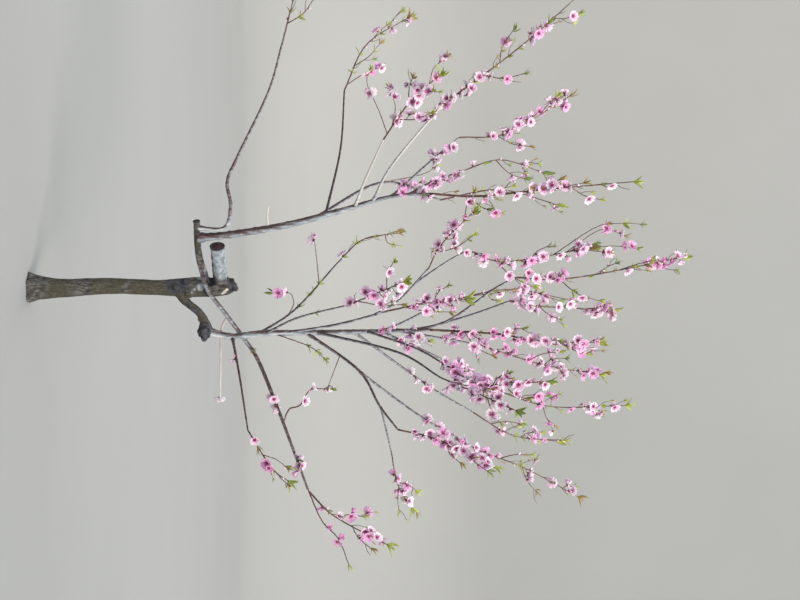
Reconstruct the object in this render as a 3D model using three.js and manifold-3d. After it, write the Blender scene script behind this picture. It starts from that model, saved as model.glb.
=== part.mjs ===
// Flowering almond tree, trained low as a bush, in full blossom with its first young leaves.
// Millimetres, +Z up. The origin is at ground level under the trunk. +X is the tree's right and
// +Y its back, seen from the side where the sawn stub points at the viewer.
import * as THREE from "three";
import { mergeVertices } from "three/addons/utils/BufferGeometryUtils.js";
import Module from "manifold-3d";

const wasm = await Module();
wasm.setup();

// Gap left between pieces that grow out of one another.
const SEAT_GAP = 0.3;

// Trunk: the points its heart runs through, and its radius at heights above the ground.
const TRUNK_HEART = [[4, 3, -30], [4, 3, 120], [-4, 6, 300], [2, 2, 470], [0, 0, 600], [-2, 0, 752]];
const TRUNK_PROFILE = [
  [-30, 66], [0, 54], [40, 43], [100, 35.5], [200, 31], [350, 28], [470, 27.5],
  [545, 33], [610, 37], [680, 35.5], [725, 29.5], [744, 20], [752, 9],
];
const ROOT_LOBES = 5;
const ROOT_LOBE_DEPTH = 0.16;
const ROOT_FLARE_HEIGHT = 150;
const GROUND_CUT_WIDTH = 400;

// Limbs: name, the limb it grows from, how far along it, its radii from base to tip, evenly spaced,
// and the points it bends through to its tip.
const LIMBS = [
  ["cut_stub", "trunk", 0.93, [27, 26, 25.5], [-145, -100, 690]],
  ["left_arm", "trunk", 0.87, [19, 14, 13, 12, 11.5], [-115, -40, 620], [-235, -90, 615]],
  ["right_arm", "trunk", 0.72, [21, 18.5, 16.5, 15, 14.5, 14.5, 17, 26, 22],
    [50, -5, 568], [92, -9, 618], [128, -10, 638], [176, -11, 644]],
  ["left_leader", "left_arm", 0.75, [13, 12.5, 12, 10, 6.5, 4.6],
    [-190, -70, 745], [-225, -65, 945], [-275, -60, 1130], [-325, -75, 1310], [-335, -90, 1450]],
  ["right_leader", "right_arm", 0.93, [12, 11.5, 10.5, 9, 6.5, 5],
    [180, -15, 745], [168, -20, 845], [165, -15, 1060], [160, -10, 1265], [155, -20, 1455]],
  ["bough_left_1", "left_arm", 0.9, [7, 6.5, 6, 5, 4.4, 3.8, 3.4],
    [-212, -96, 715], [-290, -108, 738], [-375, -120, 727], [-465, -135, 765], [-690, -175, 875],
    [-860, -195, 925]],
  ["bough_left_2", "left_leader", 0.55, [5, 4, 3], [-515, 180, 1130], [-755, 360, 1145]],
  ["bough_left_3", "left_leader", 0.68, [5, 4, 3], [-385, -120, 1220], [-510, -330, 1280]],
  ["bough_left_4", "left_leader", 0.76, [5.5, 4.5, 3.2], [-435, -110, 1315], [-650, -180, 1495]],
  ["bough_left_5", "left_leader", 0.84, [5, 4, 3], [-475, 200, 1470], [-570, 300, 1580]],
  ["bough_left_6", "left_leader", 0.91, [4, 3.2, 2.6], [-385, 0, 1465], [-425, 80, 1570]],
  ["bough_left_7", "left_leader", 0.5, [6, 4.8, 3.4], [-395, 230, 1290], [-345, 520, 1520]],
  ["bough_middle_1", "right_leader", 0.24, [4.5, 3.6, 2.8], [80, 100, 965], [-95, 300, 1120]],
  ["bough_middle_2", "right_leader", 0.27, [4.5, 3.6, 2.8], [110, -110, 980], [65, -270, 1155]],
  ["bough_middle_3", "right_leader", 0.36, [5.5, 4.5, 3.2], [135, -50, 1120], [85, -120, 1305]],
  ["bough_middle_4", "bough_middle_3", 0.86, [3.6, 3.2, 2.6], [50, -150, 1335], [-65, -265, 1440]],
  ["bough_middle_5", "bough_middle_4", 0.72, [2.9, 2.7, 2.4], [-85, -225, 1500], [-130, -190, 1580]],
  ["bough_middle_6", "right_leader", 0.55, [6, 4.8, 3.4], [160, 230, 1290], [60, 520, 1520]],
  ["bough_middle_7", "right_leader", 0.93, [4.8, 4.2, 3.6],
    [120, -10, 1525], [5, 20, 1695], [-35, 30, 1775]],
  ["bough_middle_8", "bough_middle_7", 0.24, [3.8, 3.4, 2.8], [100, 80, 1615], [50, 180, 1765]],
  ["bough_right_1", "left_arm", 0.36, [8, 7.8, 7.4, 6.5, 5.4, 4],
    [5, -60, 650], [100, -35, 718], [195, 12, 785], [275, 15, 835], [470, -20, 915], [735, -60, 1015]],
  ["bough_right_2", "right_leader", 0.12, [5, 4, 2.8], [315, -120, 770], [505, -220, 805]],
  ["bough_right_3", "right_leader", 0.45, [6, 5, 3.4],
    [300, -60, 1195], [425, -100, 1270], [510, -120, 1335]],
  ["bough_right_4", "bough_right_3", 0.8, [3.8, 3.3, 2.6], [510, 60, 1295], [615, 160, 1320]],
  ["bough_right_5", "right_leader", 0.5, [5.5, 4.4, 3], [230, -250, 1330], [310, -470, 1470]],
  ["bough_right_6", "right_leader", 0.72, [4.6, 3.8, 2.8], [220, -120, 1400], [275, -230, 1500]],
  ["bough_right_7", "bough_right_3", 0.5, [4.4, 3.6, 2.8], [480, 130, 1430], [625, 380, 1660]],
  ["bough_right_8", "right_leader", 0.66, [5, 4, 3], [370, 290, 1460], [480, 420, 1640]],
  ["bough_right_9", "right_leader", 0.78, [5, 4.2, 3.2], [275, 280, 1520], [380, 480, 1690]],
  ["bough_right_10", "right_leader", 0.85, [4.4, 3.6, 2.8], [205, 110, 1600], [240, 165, 1725]],
];

// Sprays: the limb whose tip each grows on from, and the points its stem bends through to its tip.
const SPRAYS = [
  ["left_leader", [-325, -120, 1620], [-345, -185, 1850], [-370, -250, 2165]],
  ["right_leader", [170, -55, 1700], [195, -75, 1850], [200, -100, 2060]],
  ["bough_left_1", [-1010, -215, 965], [-1100, -225, 995]],
  ["bough_left_2", [-940, 440, 1230], [-1055, 500, 1395]],
  ["bough_left_3", [-615, -520, 1360], [-690, -700, 1455]],
  ["bough_left_4", [-735, -230, 1620], [-865, -270, 1790], [-1050, -315, 2000]],
  ["bough_left_5", [-595, 380, 1770], [-745, 450, 2020]],
  ["bough_left_6", [-475, 150, 1725], [-430, 200, 1895]],
  ["bough_left_7", [-395, 700, 1770], [-340, 830, 2020]],
  ["bough_middle_1", [-185, 400, 1215], [-215, 520, 1350]],
  ["bough_middle_2", [30, -400, 1240], [-15, -550, 1345]],
  ["bough_middle_3", [60, -230, 1425], [45, -350, 1565]],
  ["bough_middle_4", [-145, -345, 1480], [-255, -455, 1585]],
  ["bough_middle_5", [-90, -165, 1720], [-140, -150, 2025]],
  ["bough_middle_6", [5, 720, 1800], [45, 870, 2065]],
  ["bough_middle_7", [-35, 40, 1990], [-110, 50, 2390]],
  ["bough_middle_8", [70, 250, 1880], [85, 350, 2175]],
  ["bough_right_1", [825, -80, 1110], [925, -110, 1300]],
  ["bough_right_2", [630, -290, 890], [675, -325, 950]],
  ["bough_right_3", [545, -165, 1480], [640, -200, 1675]],
  ["bough_right_4", [740, 260, 1345], [845, 350, 1400]],
  ["bough_right_5", [350, -630, 1570], [405, -800, 1700]],
  ["bough_right_6", [340, -345, 1620], [325, -455, 1835]],
  ["bough_right_7", [710, 520, 1860], [830, 620, 2075]],
  ["bough_right_8", [575, 510, 1800], [605, 580, 1985]],
  ["bough_right_9", [470, 640, 1960], [475, 780, 2290]],
  ["bough_right_10", [295, 235, 1910], [330, 300, 2120]],
];
const SPRAY_SEED = 4100;
const STEM_TIP_RADIUS = 1.5;

// Side twigs of a spray.
const TWIG_SPACING = 160;
const MOST_TWIGS = 4;
const TWIG_REACH = 165;
const TWIG_REACH_LOST = 0.45;
const TWIG_REACH_SHARES = [0.7, 1.2];
const TWIG_RADII = [2, 1.2];
const TWIG_SHARES = [0.16, 0.86];
const TWIG_LEANS = [0.6, 0.95];
const GOLDEN_TURN = Math.PI * (3 - Math.sqrt(5));

// Blossoms, five-cornered cups that sit straight on last year's wood. Each stands for the two or
// three flowers that open together at a bud, so it is wider than the single flower's 40 mm.
const BLOSSOM_SPACING = 116;
const BLOSSOM_RADIUS = 26;
const BLOSSOM_RISE = 15;
const BLOSSOM_THROAT = 8;
const BLOSSOM_ROOT = -0.5;
const BLOSSOM_LEANS = [1.1, 1.5];
const BLOSSOM_SHARES = [0.08, 0.95];
const TWIG_BLOSSOM_SHARES = [0.4, 0.7];
const PETALS = 5;

// Young leaves, in tufts at the tips: the last one points on, those below it lean out.
const LEAF_LENGTH = 46;
const LEAF_WIDTH = 14;
const LEAF_THICKNESS = 2;
const LEAF_ROOT = 3;
const LEAF_STEP = 13;
const TIP_LEAN = 0.15;
const TUFT_LEAN = 0.8;
const TWIG_TUFT = 1;
const STEM_TUFT = 2;

// Room a twig, blossom or leaf keeps to a limb, and to the middle between its own stem and the next.
const LIMB_ROOM = 2;
const SPACE_ROOM = 3;
// Least distance between the middles of two blossoms, and of a leaf and what stands near it.
const BLOSSOM_ROOM = 46;
const LEAF_ROOM = 24;

const TRUNK_SIDES = 14;
const TRUNK_RINGS = 22;
const OLD_LIMB = 15;
const THICK_LIMB = 9;
const THICK_SIDES = 9;
const THIN_SIDES = 5;
const OLD_RING_STEP = 25;
const RING_STEP = 95;
const LEAST_RINGS = 3;
const TWIG_SIDES = 3;
const TWIG_RINGS = 2;

// How finely limbs and stems are measured where a twig, blossom or leaf has to keep clear of them.
const STRETCHES_A_RING = 2;
const STEM_STRETCHES = 14;
const TWIG_PROBES = 6;

const BARK_COLORS = { trunk: 0x5d5a47, cut_stub: 0x8f8c86, left_arm: 0x6d6658, right_arm: 0x6a6457 };
const SHOOT_COLOR = 0x85796f;
const BARK_ROUGHNESS = 0.85;
const BLOSSOM_COLOR = 0xe3a3c9;
const BLOSSOM_ROUGHNESS = 0.7;

const CURVE_TENSION = 0.5;
const NEARLY_UPRIGHT = 0.9;

const vector = (place) => new THREE.Vector3(...place);
const curveThrough = (points) => new THREE.CatmullRomCurve3(points, false, "catmullrom", CURVE_TENSION);
const within = ([least, most], share) => least + (most - least) * share;
const ringsAlong = (length, step) => Math.max(LEAST_RINGS, Math.round(length / step));

// A number between 0 and 1 on each call, the same row of numbers for the same seed.
function seededRandom(seed) {
  let state = seed >>> 0;
  return () => {
    state = (Math.imul(state, 1664525) + 1013904223) >>> 0;
    return state / 4294967296;
  };
}

// A value at a place between the pairs [place, value].
function between(pairs, place) {
  const after = pairs.findIndex((pair) => pair[0] >= place);
  if (after < 0) return pairs[pairs.length - 1][1];
  if (after === 0) return pairs[0][1];
  const [lowPlace, lowValue] = pairs[after - 1];
  const [highPlace, highValue] = pairs[after];
  return lowValue + (highValue - lowValue) * (place - lowPlace) / (highPlace - lowPlace);
}

const evenPairs = (values) => values.map((value, i) => [i / (values.length - 1), value]);

function solidOf(geometry) {
  geometry.deleteAttribute("normal");
  geometry.deleteAttribute("uv");
  const merged = mergeVertices(geometry);
  return new wasm.Manifold(new wasm.Mesh({
    numProp: 3,
    vertProperties: new Float32Array(merged.attributes.position.array),
    triVerts: new Uint32Array(merged.index.array),
  }));
}

function largestPiece(solid) {
  const pieces = solid.decompose();
  pieces.sort((a, b) => b.volume() - a.volume());
  return pieces[0];
}

function meshOf(name, solid, color, roughness) {
  const { vertProperties, triVerts } = solid.getMesh();
  const geometry = new THREE.BufferGeometry();
  geometry.setAttribute("position", new THREE.BufferAttribute(vertProperties, 3));
  geometry.setIndex(new THREE.BufferAttribute(triVerts, 1));
  geometry.computeVertexNormals();
  const material = new THREE.MeshStandardMaterial({ color, roughness, metalness: 0, flatShading: true });
  const mesh = new THREE.Mesh(geometry, material);
  mesh.name = name;
  return mesh;
}

// A round bar bent along a curve, with the radius of each ring, and swollen all over by a margin.
function bentBar(curve, rings, sides, radiusAt, swell = 0) {
  const bar = new THREE.CylinderGeometry(1, 1, 1, sides, rings);
  const frames = curve.computeFrenetFrames(rings);
  const places = bar.attributes.position;
  for (let i = 0; i < places.count; i += 1) {
    const across = places.getX(i);
    const over = places.getZ(i);
    const ring = Math.round((places.getY(i) + 0.5) * rings);
    const radius = radiusAt(ring / rings, Math.atan2(over, across)) + swell;
    const end = Math.sign(ring === rings) - Math.sign(ring === 0);
    const place = curve.getPointAt(ring / rings)
      .addScaledVector(frames.tangents[ring], end * swell)
      .addScaledVector(frames.normals[ring], across * radius)
      .addScaledVector(frames.binormals[ring], -over * radius);
    places.setXYZ(i, place.x, place.y, place.z);
  }
  return bar;
}

// The trunk, with five root lobes at its foot and a flat cut at ground level.
function growTrunk() {
  const curve = curveThrough(TRUNK_HEART.map(vector));
  const foot = TRUNK_HEART[0][2];
  const rise = TRUNK_HEART[TRUNK_HEART.length - 1][2] - foot;
  const radiusAt = (share, angle = 0) => {
    const height = foot + rise * share;
    const flare = Math.max(0, 1 - height / ROOT_FLARE_HEIGHT) ** 2;
    return between(TRUNK_PROFILE, height) * (1 + ROOT_LOBE_DEPTH * flare * Math.cos(ROOT_LOBES * angle));
  };
  return { name: "trunk", curve, radiusAt, sides: TRUNK_SIDES, rings: TRUNK_RINGS };
}

function growLimb(row, grown) {
  const [name, parentName, share, radii, ...points] = row;
  const start = grown.get(parentName).curve.getPointAt(share);
  const curve = curveThrough([start, ...points.map(vector)]);
  const pairs = evenPairs(radii);
  return {
    name,
    curve,
    radiusAt: (along) => between(pairs, along),
    sides: radii[0] > THICK_LIMB ? THICK_SIDES : THIN_SIDES,
    rings: ringsAlong(curve.getLength(), radii[0] > OLD_LIMB ? OLD_RING_STEP : RING_STEP),
  };
}

const barOf = (limb, swell) => solidOf(bentBar(limb.curve, limb.rings, limb.sides, limb.radiusAt, swell));

function flatGroundCut() {
  const below = new THREE.BoxGeometry(GROUND_CUT_WIDTH, GROUND_CUT_WIDTH, GROUND_CUT_WIDTH);
  below.translate(0, 0, -GROUND_CUT_WIDTH / 2);
  return solidOf(below);
}

// The centre line of a limb or stem as short straight stretches, with the wood's radius on each.
function centreLine(curve, radiusAt, stretches) {
  const points = curve.getSpacedPoints(stretches);
  return points.slice(1).map((end, i) => ({
    stretch: new THREE.Line3(points[i], end),
    radius: radiusAt((i + 0.5) / stretches),
  }));
}

const nearest = new THREE.Vector3();

function distanceTo(line, point, counted = 1) {
  return Math.min(...line.map(({ stretch, radius }) => (
    stretch.closestPointToPoint(point, true, nearest).distanceTo(point) - counted * radius
  )));
}

// Two directions square to a tangent and to each other.
function sideways(tangent) {
  const upright = Math.abs(tangent.z) > NEARLY_UPRIGHT;
  const reference = upright ? new THREE.Vector3(1, 0, 0) : new THREE.Vector3(0, 0, 1);
  const right = new THREE.Vector3().crossVectors(reference, tangent).normalize();
  const up = new THREE.Vector3().crossVectors(tangent, right);
  return { right, up };
}

// A direction that leans away from a tangent, at a turn about it.
function leaning(tangent, turn, lean) {
  const { right, up } = sideways(tangent);
  return tangent.clone().multiplyScalar(Math.cos(lean))
    .addScaledVector(right, Math.sin(lean) * Math.cos(turn))
    .addScaledVector(up, Math.sin(lean) * Math.sin(turn));
}

// The matrix that stands a shape's +Y along a direction at a place.
function standing(place, direction, turn) {
  const { right, up } = sideways(direction);
  const across = right.clone().multiplyScalar(Math.cos(turn)).addScaledVector(up, Math.sin(turn));
  const over = new THREE.Vector3().crossVectors(across, direction);
  return new THREE.Matrix4().makeBasis(across, direction, over).setPosition(place);
}

// A five-cornered cup on a point that is sunk in the wood.
function blossomShape() {
  const shape = new THREE.ConeGeometry(BLOSSOM_RADIUS, 1, PETALS, 1);
  const places = shape.attributes.position;
  for (let i = 0; i < places.count; i += 1) {
    const x = places.getX(i);
    const z = places.getZ(i);
    const middle = places.getY(i) > 0 ? BLOSSOM_ROOT : BLOSSOM_THROAT;
    places.setXYZ(i, -x, Math.hypot(x, z) > 1 ? BLOSSOM_RISE : middle, z);
  }
  return shape;
}

function leafShape() {
  const shape = new THREE.OctahedronGeometry(1);
  shape.scale(LEAF_WIDTH / 2, LEAF_LENGTH / 2, LEAF_THICKNESS / 2);
  shape.translate(0, LEAF_LENGTH / 2 - LEAF_ROOT, 0);
  return shape;
}

const BLOSSOM = blossomShape();
const LEAF = leafShape();

const cornersOf = (shape, matrix) => Array.from({ length: shape.attributes.position.count }, (_, i) => (
  new THREE.Vector3().fromBufferAttribute(shape.attributes.position, i).applyMatrix4(matrix)
));

function growStem(row, limb) {
  const [, ...points] = row;
  const tip = limb.curve.getPointAt(1);
  const base = tip.clone().addScaledVector(limb.curve.getTangentAt(1), SEAT_GAP);
  const curve = curveThrough([base, ...points.map(vector)]);
  const pairs = evenPairs([limb.radiusAt(1), STEM_TIP_RADIUS]);
  const radiusAt = (along) => between(pairs, along);
  return { curve, radiusAt, length: curve.getLength() };
}

// A side twig that leans out of the stem and then turns up along it.
function growTwig(stem, share, turn, lean, reach) {
  const base = stem.curve.getPointAt(share);
  const tangent = stem.curve.getTangentAt(share);
  const out = leaning(tangent, turn, lean);
  const on = leaning(tangent, turn, lean / 2);
  const knee = base.clone().addScaledVector(out, reach / 2);
  const tip = knee.clone().addScaledVector(on, reach / 2);
  const pairs = evenPairs(TWIG_RADII);
  const radiusAt = (along) => between(pairs, along);
  return { curve: curveThrough([base, knee, tip]), radiusAt, length: reach };
}

// A spray: its stem, the side twigs, the blossoms along both and the tufts of leaves at their tips.
// A twig, blossom or leaf that would leave the spray's own space or touch a limb is skipped, and so
// is a blossom or leaf with its middle inside another.
function growSpray(row, index, stems, limbLines, stemLines) {
  const random = seededRandom(SPRAY_SEED + index);
  const stem = stems[index];
  const inOwnSpace = (point) => {
    const own = distanceTo(stemLines[index], point, 0) + SPACE_ROOM;
    return limbLines.every((line) => distanceTo(line, point) > LIMB_ROOM)
      && stemLines.every((line, i) => i === index || distanceTo(line, point, 0) > own);
  };
  const rings = ringsAlong(stem.length, RING_STEP);
  const pieces = [solidOf(bentBar(stem.curve, rings, TWIG_SIDES, stem.radiusAt))];
  const middles = [];
  const place = (shape, matrix, room) => {
    const middle = new THREE.Vector3(0, BLOSSOM_RISE, 0).applyMatrix4(matrix);
    const free = middles.every((other) => other.distanceTo(middle) > room);
    if (!free || !cornersOf(shape, matrix).every(inOwnSpace)) return;
    middles.push(middle);
    pieces.push(solidOf(shape.clone().applyMatrix4(matrix)));
  };
  const bloom = (wood, share) => {
    const tangent = wood.curve.getTangentAt(share);
    const direction = leaning(tangent, random() * 2 * Math.PI, within(BLOSSOM_LEANS, random()));
    place(BLOSSOM, standing(wood.curve.getPointAt(share), direction, random() * Math.PI), BLOSSOM_ROOM);
  };
  const tuft = (wood, count) => {
    const first = random() * 2 * Math.PI;
    for (let i = 0; i < count; i += 1) {
      const share = 1 - i * LEAF_STEP / wood.length;
      const turn = first + i * GOLDEN_TURN;
      const direction = leaning(wood.curve.getTangentAt(share), turn, i === 0 ? TIP_LEAN : TUFT_LEAN);
      place(LEAF, standing(wood.curve.getPointAt(share), direction, turn), LEAF_ROOM);
    }
  };

  const twigs = [];
  const twigCount = Math.min(MOST_TWIGS, Math.round(stem.length / TWIG_SPACING));
  let turn = random() * 2 * Math.PI;
  for (let i = 0; i < twigCount; i += 1) {
    const share = within(TWIG_SHARES, (i + random()) / twigCount);
    const lean = within(TWIG_LEANS, random());
    const reach = TWIG_REACH * (1 - TWIG_REACH_LOST * share) * within(TWIG_REACH_SHARES, random());
    turn += GOLDEN_TURN;
    const twig = growTwig(stem, share, turn, lean, reach);
    if (twig.curve.getSpacedPoints(TWIG_PROBES).slice(1).every(inOwnSpace)) twigs.push(twig);
  }
  twigs.forEach((twig) => pieces.push(solidOf(bentBar(twig.curve, TWIG_RINGS, TWIG_SIDES, twig.radiusAt))));

  const stemBlossoms = Math.round(stem.length / BLOSSOM_SPACING);
  for (let i = 0; i < stemBlossoms; i += 1) {
    bloom(stem, within(BLOSSOM_SHARES, (i + random()) / stemBlossoms));
  }
  twigs.forEach((twig) => {
    bloom(twig, within(TWIG_BLOSSOM_SHARES, random()));
    tuft(twig, TWIG_TUFT);
  });
  tuft(stem, STEM_TUFT);
  return wasm.Manifold.union(pieces);
}

const tree = new THREE.Group();
const grown = new Map([["trunk", growTrunk()]]);
LIMBS.forEach((row) => grown.set(row[0], growLimb(row, grown)));

// Each limb is cut clear of those made before it, so that it sits on its parent with the seat gap.
const swollen = [];
grown.forEach((limb) => {
  let solid = barOf(limb, 0);
  if (limb.name === "trunk") solid = solid.subtract(flatGroundCut());
  swollen.forEach((other) => {
    solid = solid.subtract(other);
  });
  swollen.push(barOf(limb, SEAT_GAP));
  tree.add(meshOf(limb.name, largestPiece(solid), BARK_COLORS[limb.name] ?? SHOOT_COLOR, BARK_ROUGHNESS));
});

const stems = SPRAYS.map((row) => growStem(row, grown.get(row[0])));
const limbLines = [...grown.values()].map((limb) => (
  centreLine(limb.curve, limb.radiusAt, STRETCHES_A_RING * limb.rings)
));
const stemLines = stems.map((stem) => centreLine(stem.curve, stem.radiusAt, STEM_STRETCHES));
SPRAYS.forEach((row, index) => {
  const name = `spray_${row[0].replace("bough_", "")}`;
  const spray = growSpray(row, index, stems, limbLines, stemLines);
  const seated = spray.subtract(barOf(grown.get(row[0]), SEAT_GAP));
  tree.add(meshOf(name, largestPiece(seated), BLOSSOM_COLOR, BLOSSOM_ROUGHNESS));
});

export default tree;
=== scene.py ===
"""A flowering almond tree in full blossom with its first young leaves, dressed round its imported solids."""
import math

import bpy
import numpy as np
from mathutils import Matrix, Vector


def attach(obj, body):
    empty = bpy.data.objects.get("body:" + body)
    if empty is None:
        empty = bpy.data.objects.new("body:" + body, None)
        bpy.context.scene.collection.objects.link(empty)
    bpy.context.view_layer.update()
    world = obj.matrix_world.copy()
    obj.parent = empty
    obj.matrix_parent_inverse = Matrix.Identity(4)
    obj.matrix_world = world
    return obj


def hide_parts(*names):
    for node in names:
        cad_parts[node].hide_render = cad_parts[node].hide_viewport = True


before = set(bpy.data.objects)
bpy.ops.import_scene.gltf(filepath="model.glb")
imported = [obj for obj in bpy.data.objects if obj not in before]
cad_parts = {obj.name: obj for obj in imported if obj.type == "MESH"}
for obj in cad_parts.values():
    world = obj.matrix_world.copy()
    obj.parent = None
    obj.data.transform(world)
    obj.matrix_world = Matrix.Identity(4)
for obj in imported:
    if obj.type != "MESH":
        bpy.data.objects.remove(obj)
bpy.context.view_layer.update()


# Camera: the picture was taken standing up, seven metres in front of the tree, with the camera on its
# side. The picture's right is the tree's up, and the picture's up is the tree's left.
CAMERA_PLACE = Vector((0.047, -7.003, 1.139))
CAMERA_AIM = Vector((0.047, 0.0, 1.347))
CAMERA_LENS = 86.6
CAMERA_SENSOR = 36.0

bpy.ops.object.camera_add()
camera = bpy.context.object
camera.data.lens = CAMERA_LENS
camera.data.sensor_width = CAMERA_SENSOR
backwards = (CAMERA_PLACE - CAMERA_AIM).normalized()
picture_up = Vector((-1, 0, 0))
picture_right = picture_up.cross(backwards)
for i, axis in enumerate((picture_right, picture_up, backwards, CAMERA_PLACE)):
    camera.matrix_world.col[i][:3] = axis
bpy.context.scene.camera = camera


# Studio: a round pale floor that turns up into a wall all round, far enough out for a camera on any
# side. It is painted board, matt, so the light has no edge on it.
FLOOR_RADIUS = 15.0
FLOOR_SIDES = 96
COVE_RADIUS = 3.0
COVE_STEPS = 24
WALL_TOP = 10.0
# Corners lower than this are on the floor's own edge.
FLOOR_LEVEL = 1e-4
# Faces that meet at fewer degrees than this are shaded as one.
SMOOTH_BELOW = 40


def colour(hex_code):
    """An sRGB hex value as linear red, green, blue and one."""
    channels = [int(hex_code[i:i + 2], 16) / 255 for i in (1, 3, 5)]
    return [c / 12.92 if c <= 0.04045 else ((c + 0.055) / 1.055) ** 2.4 for c in channels] + [1.0]


def add_node(material, kind, inputs=None, stops=(), **settings):
    """Adds one node, with its settings, what its inputs are given, a value or the output of another node,
    and a ramp's stops, the two ends first. Gives the outputs of the node."""
    node = material.node_tree.nodes.new("ShaderNode" + kind)
    for name, setting in settings.items():
        setattr(node, name, setting)
    for name, given in (inputs or {}).items():
        if isinstance(given, bpy.types.NodeSocket):
            material.node_tree.links.new(given, node.inputs[name])
        else:
            node.inputs[name].default_value = given
    for i, (place, shade) in enumerate(stops):
        element = node.color_ramp.elements[i] if i < 2 else node.color_ramp.elements.new(place)
        element.position = place
        element.color = colour(shade)
    return node.outputs


def new_material(name, **values):
    """A material with its shader, whose constant values are set on the shader's own sockets."""
    material = bpy.data.materials.new(name)
    material.use_nodes = True
    surface = material.node_tree.nodes["Principled BSDF"]
    for socket, value in values.items():
        surface.inputs[socket.replace("_", " ")].default_value = value
    return material, surface


def link(material, surface, **outputs):
    """Links outputs of nodes to sockets of the material's shader."""
    for socket, output in outputs.items():
        material.node_tree.links.new(output, surface.inputs[socket.replace("_", " ")])


def grains(size):
    """A noise pattern's scale for grains or patches of a real size in metres."""
    return 1 / size


def painted_board():
    """Matt emulsion on board: an even pale grey with the faint cloudiness of roller work."""
    board, surface = new_material("matt_emulsion_on_board", Roughness=0.95)
    place = add_node(board, "TexCoord")["Object"]
    clouds = add_node(board, "TexNoise", {"Vector": place, "Scale": grains(1.7), "Detail": 3.0})["Fac"]
    tint = add_node(board, "ValToRGB", {"Fac": clouds}, [(0.3, "#a0a19e"), (0.7, "#a3a4a1")])["Color"]
    link(board, surface, Base_Color=tint)
    return board


cove = [(FLOOR_RADIUS, 0.0)]
for i in range(1, COVE_STEPS + 1):
    angle = math.pi / 2 * i / COVE_STEPS
    cove.append((FLOOR_RADIUS + COVE_RADIUS * math.sin(angle), COVE_RADIUS * (1 - math.cos(angle))))
cove.append((cove[-1][0], WALL_TOP))

bpy.ops.object.select_all(action="DESELECT")
bpy.ops.mesh.primitive_circle_add(vertices=FLOOR_SIDES, radius=FLOOR_RADIUS, fill_type="NOTHING")
floor = bpy.context.object
floor.name = "studio_floor"
bpy.ops.object.mode_set(mode="EDIT")
bpy.ops.mesh.select_mode(type="EDGE")
bpy.ops.mesh.select_all(action="SELECT")
for (radius, height), (next_radius, next_height) in zip(cove, cove[1:]):
    bpy.ops.mesh.extrude_region_move(TRANSFORM_OT_translate={"value": (0, 0, next_height - height)})
    widen = next_radius / radius
    bpy.ops.transform.resize(value=(widen, widen, 1), center_override=(0, 0, next_height))
bpy.ops.mesh.select_mode(type="VERT")
bpy.ops.mesh.select_all(action="DESELECT")
bpy.ops.object.mode_set(mode="OBJECT")
for corner in floor.data.vertices:
    corner.select = corner.co.z < FLOOR_LEVEL
bpy.ops.object.mode_set(mode="EDIT")
bpy.ops.mesh.edge_face_add()
bpy.ops.mesh.select_all(action="SELECT")
bpy.ops.mesh.normals_make_consistent(inside=True)
bpy.ops.object.mode_set(mode="OBJECT")
bpy.ops.object.shade_smooth_by_angle(angle=math.radians(SMOOTH_BELOW))
floor.data.materials.append(painted_board())


# Lights: a bright overcast sky all round, a broad soft light from the tree's upper right, a weaker one
# from its upper left, and one from behind that draws the edges of the petals.
SKY_SHADE = "#e9eef5"
SKY_STRENGTH = 1.15
# Name, where it shines from, how many degrees wide it is in the sky, its strength and its shade.
LAMPS = [
    ("key", (3.0, -5.2, 3.9), 22.0, 3.0, "#fff6ee"),
    ("fill", (-4.2, -3.4, 2.8), 40.0, 0.5, "#e6eeff"),
    ("rim", (-1.5, 4.6, 3.6), 30.0, 0.7, "#fffaf2"),
]

world = bpy.data.worlds.new("overcast_sky")
world.use_nodes = True
sky = world.node_tree.nodes["Background"]
sky.inputs["Color"].default_value = colour(SKY_SHADE)
sky.inputs["Strength"].default_value = SKY_STRENGTH
bpy.context.scene.world = world
for name, place, width, strength, shade in LAMPS:
    bpy.ops.object.light_add(type="SUN", location=place)
    lamp = bpy.context.object
    lamp.name = name
    lamp.data.angle = math.radians(width)
    lamp.data.energy = strength
    lamp.data.color = colour(shade)[:3]
    lamp.rotation_euler = Vector(place).to_track_quat("Z", "Y").to_euler()
bpy.context.scene.view_settings.view_transform = "Standard"


# Old wood: the short trunk, a little bent, cut back years ago to a sawn stub, and its two heavy arms.
# It is living almond wood under thick bark, grown as one body, with knobs of scar wood at every old cut.
MM = 0.001
TRUNK_HEART = [(4, 3, -30), (4, 3, 120), (-4, 6, 300), (2, 2, 470), (0, 0, 600), (-2, 0, 752)]
TRUNK_PROFILE = [
    (-30, 66), (0, 54), (40, 43), (100, 35.5), (200, 31), (350, 28), (470, 27.5),
    (545, 33), (610, 37), (680, 35.5), (725, 29.5), (744, 20), (752, 9),
]
ROOT_LOBES = 5
ROOT_LOBE_DEPTH = 0.16
ROOT_FLARE_HEIGHT = 150
# The trunk above the ground bends through so many places of the heart. The heart's heights are read at so
# many marks to find the ground, and at so many to find a hollow.
TRUNK_BENDS = 12
GROUND_MARKS = 201
HOLLOW_MARKS = 50
# Name, the limb it grows from, how far along it, radii from base to tip, and the points it bends through.
OLD_LIMBS = [
    ("cut_stub", "trunk", 0.93, (27, 26, 25.5), [(-145, -100, 690)]),
    ("left_arm", "trunk", 0.87, (19, 14, 13, 12, 11.5), [(-115, -40, 620), (-235, -90, 615)]),
    ("right_arm", "trunk", 0.72, (21, 18.5, 16.5, 15, 14.5, 14.5, 17, 26, 22),
     [(50, -5, 568), (92, -9, 618), (128, -10, 638), (176, -11, 644)]),
]
TRUNK_SIDES = 40
TRUNK_RINGS = 48
OLD_LIMB_SIDES = 24
OLD_LIMB_STEP = 12
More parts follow.
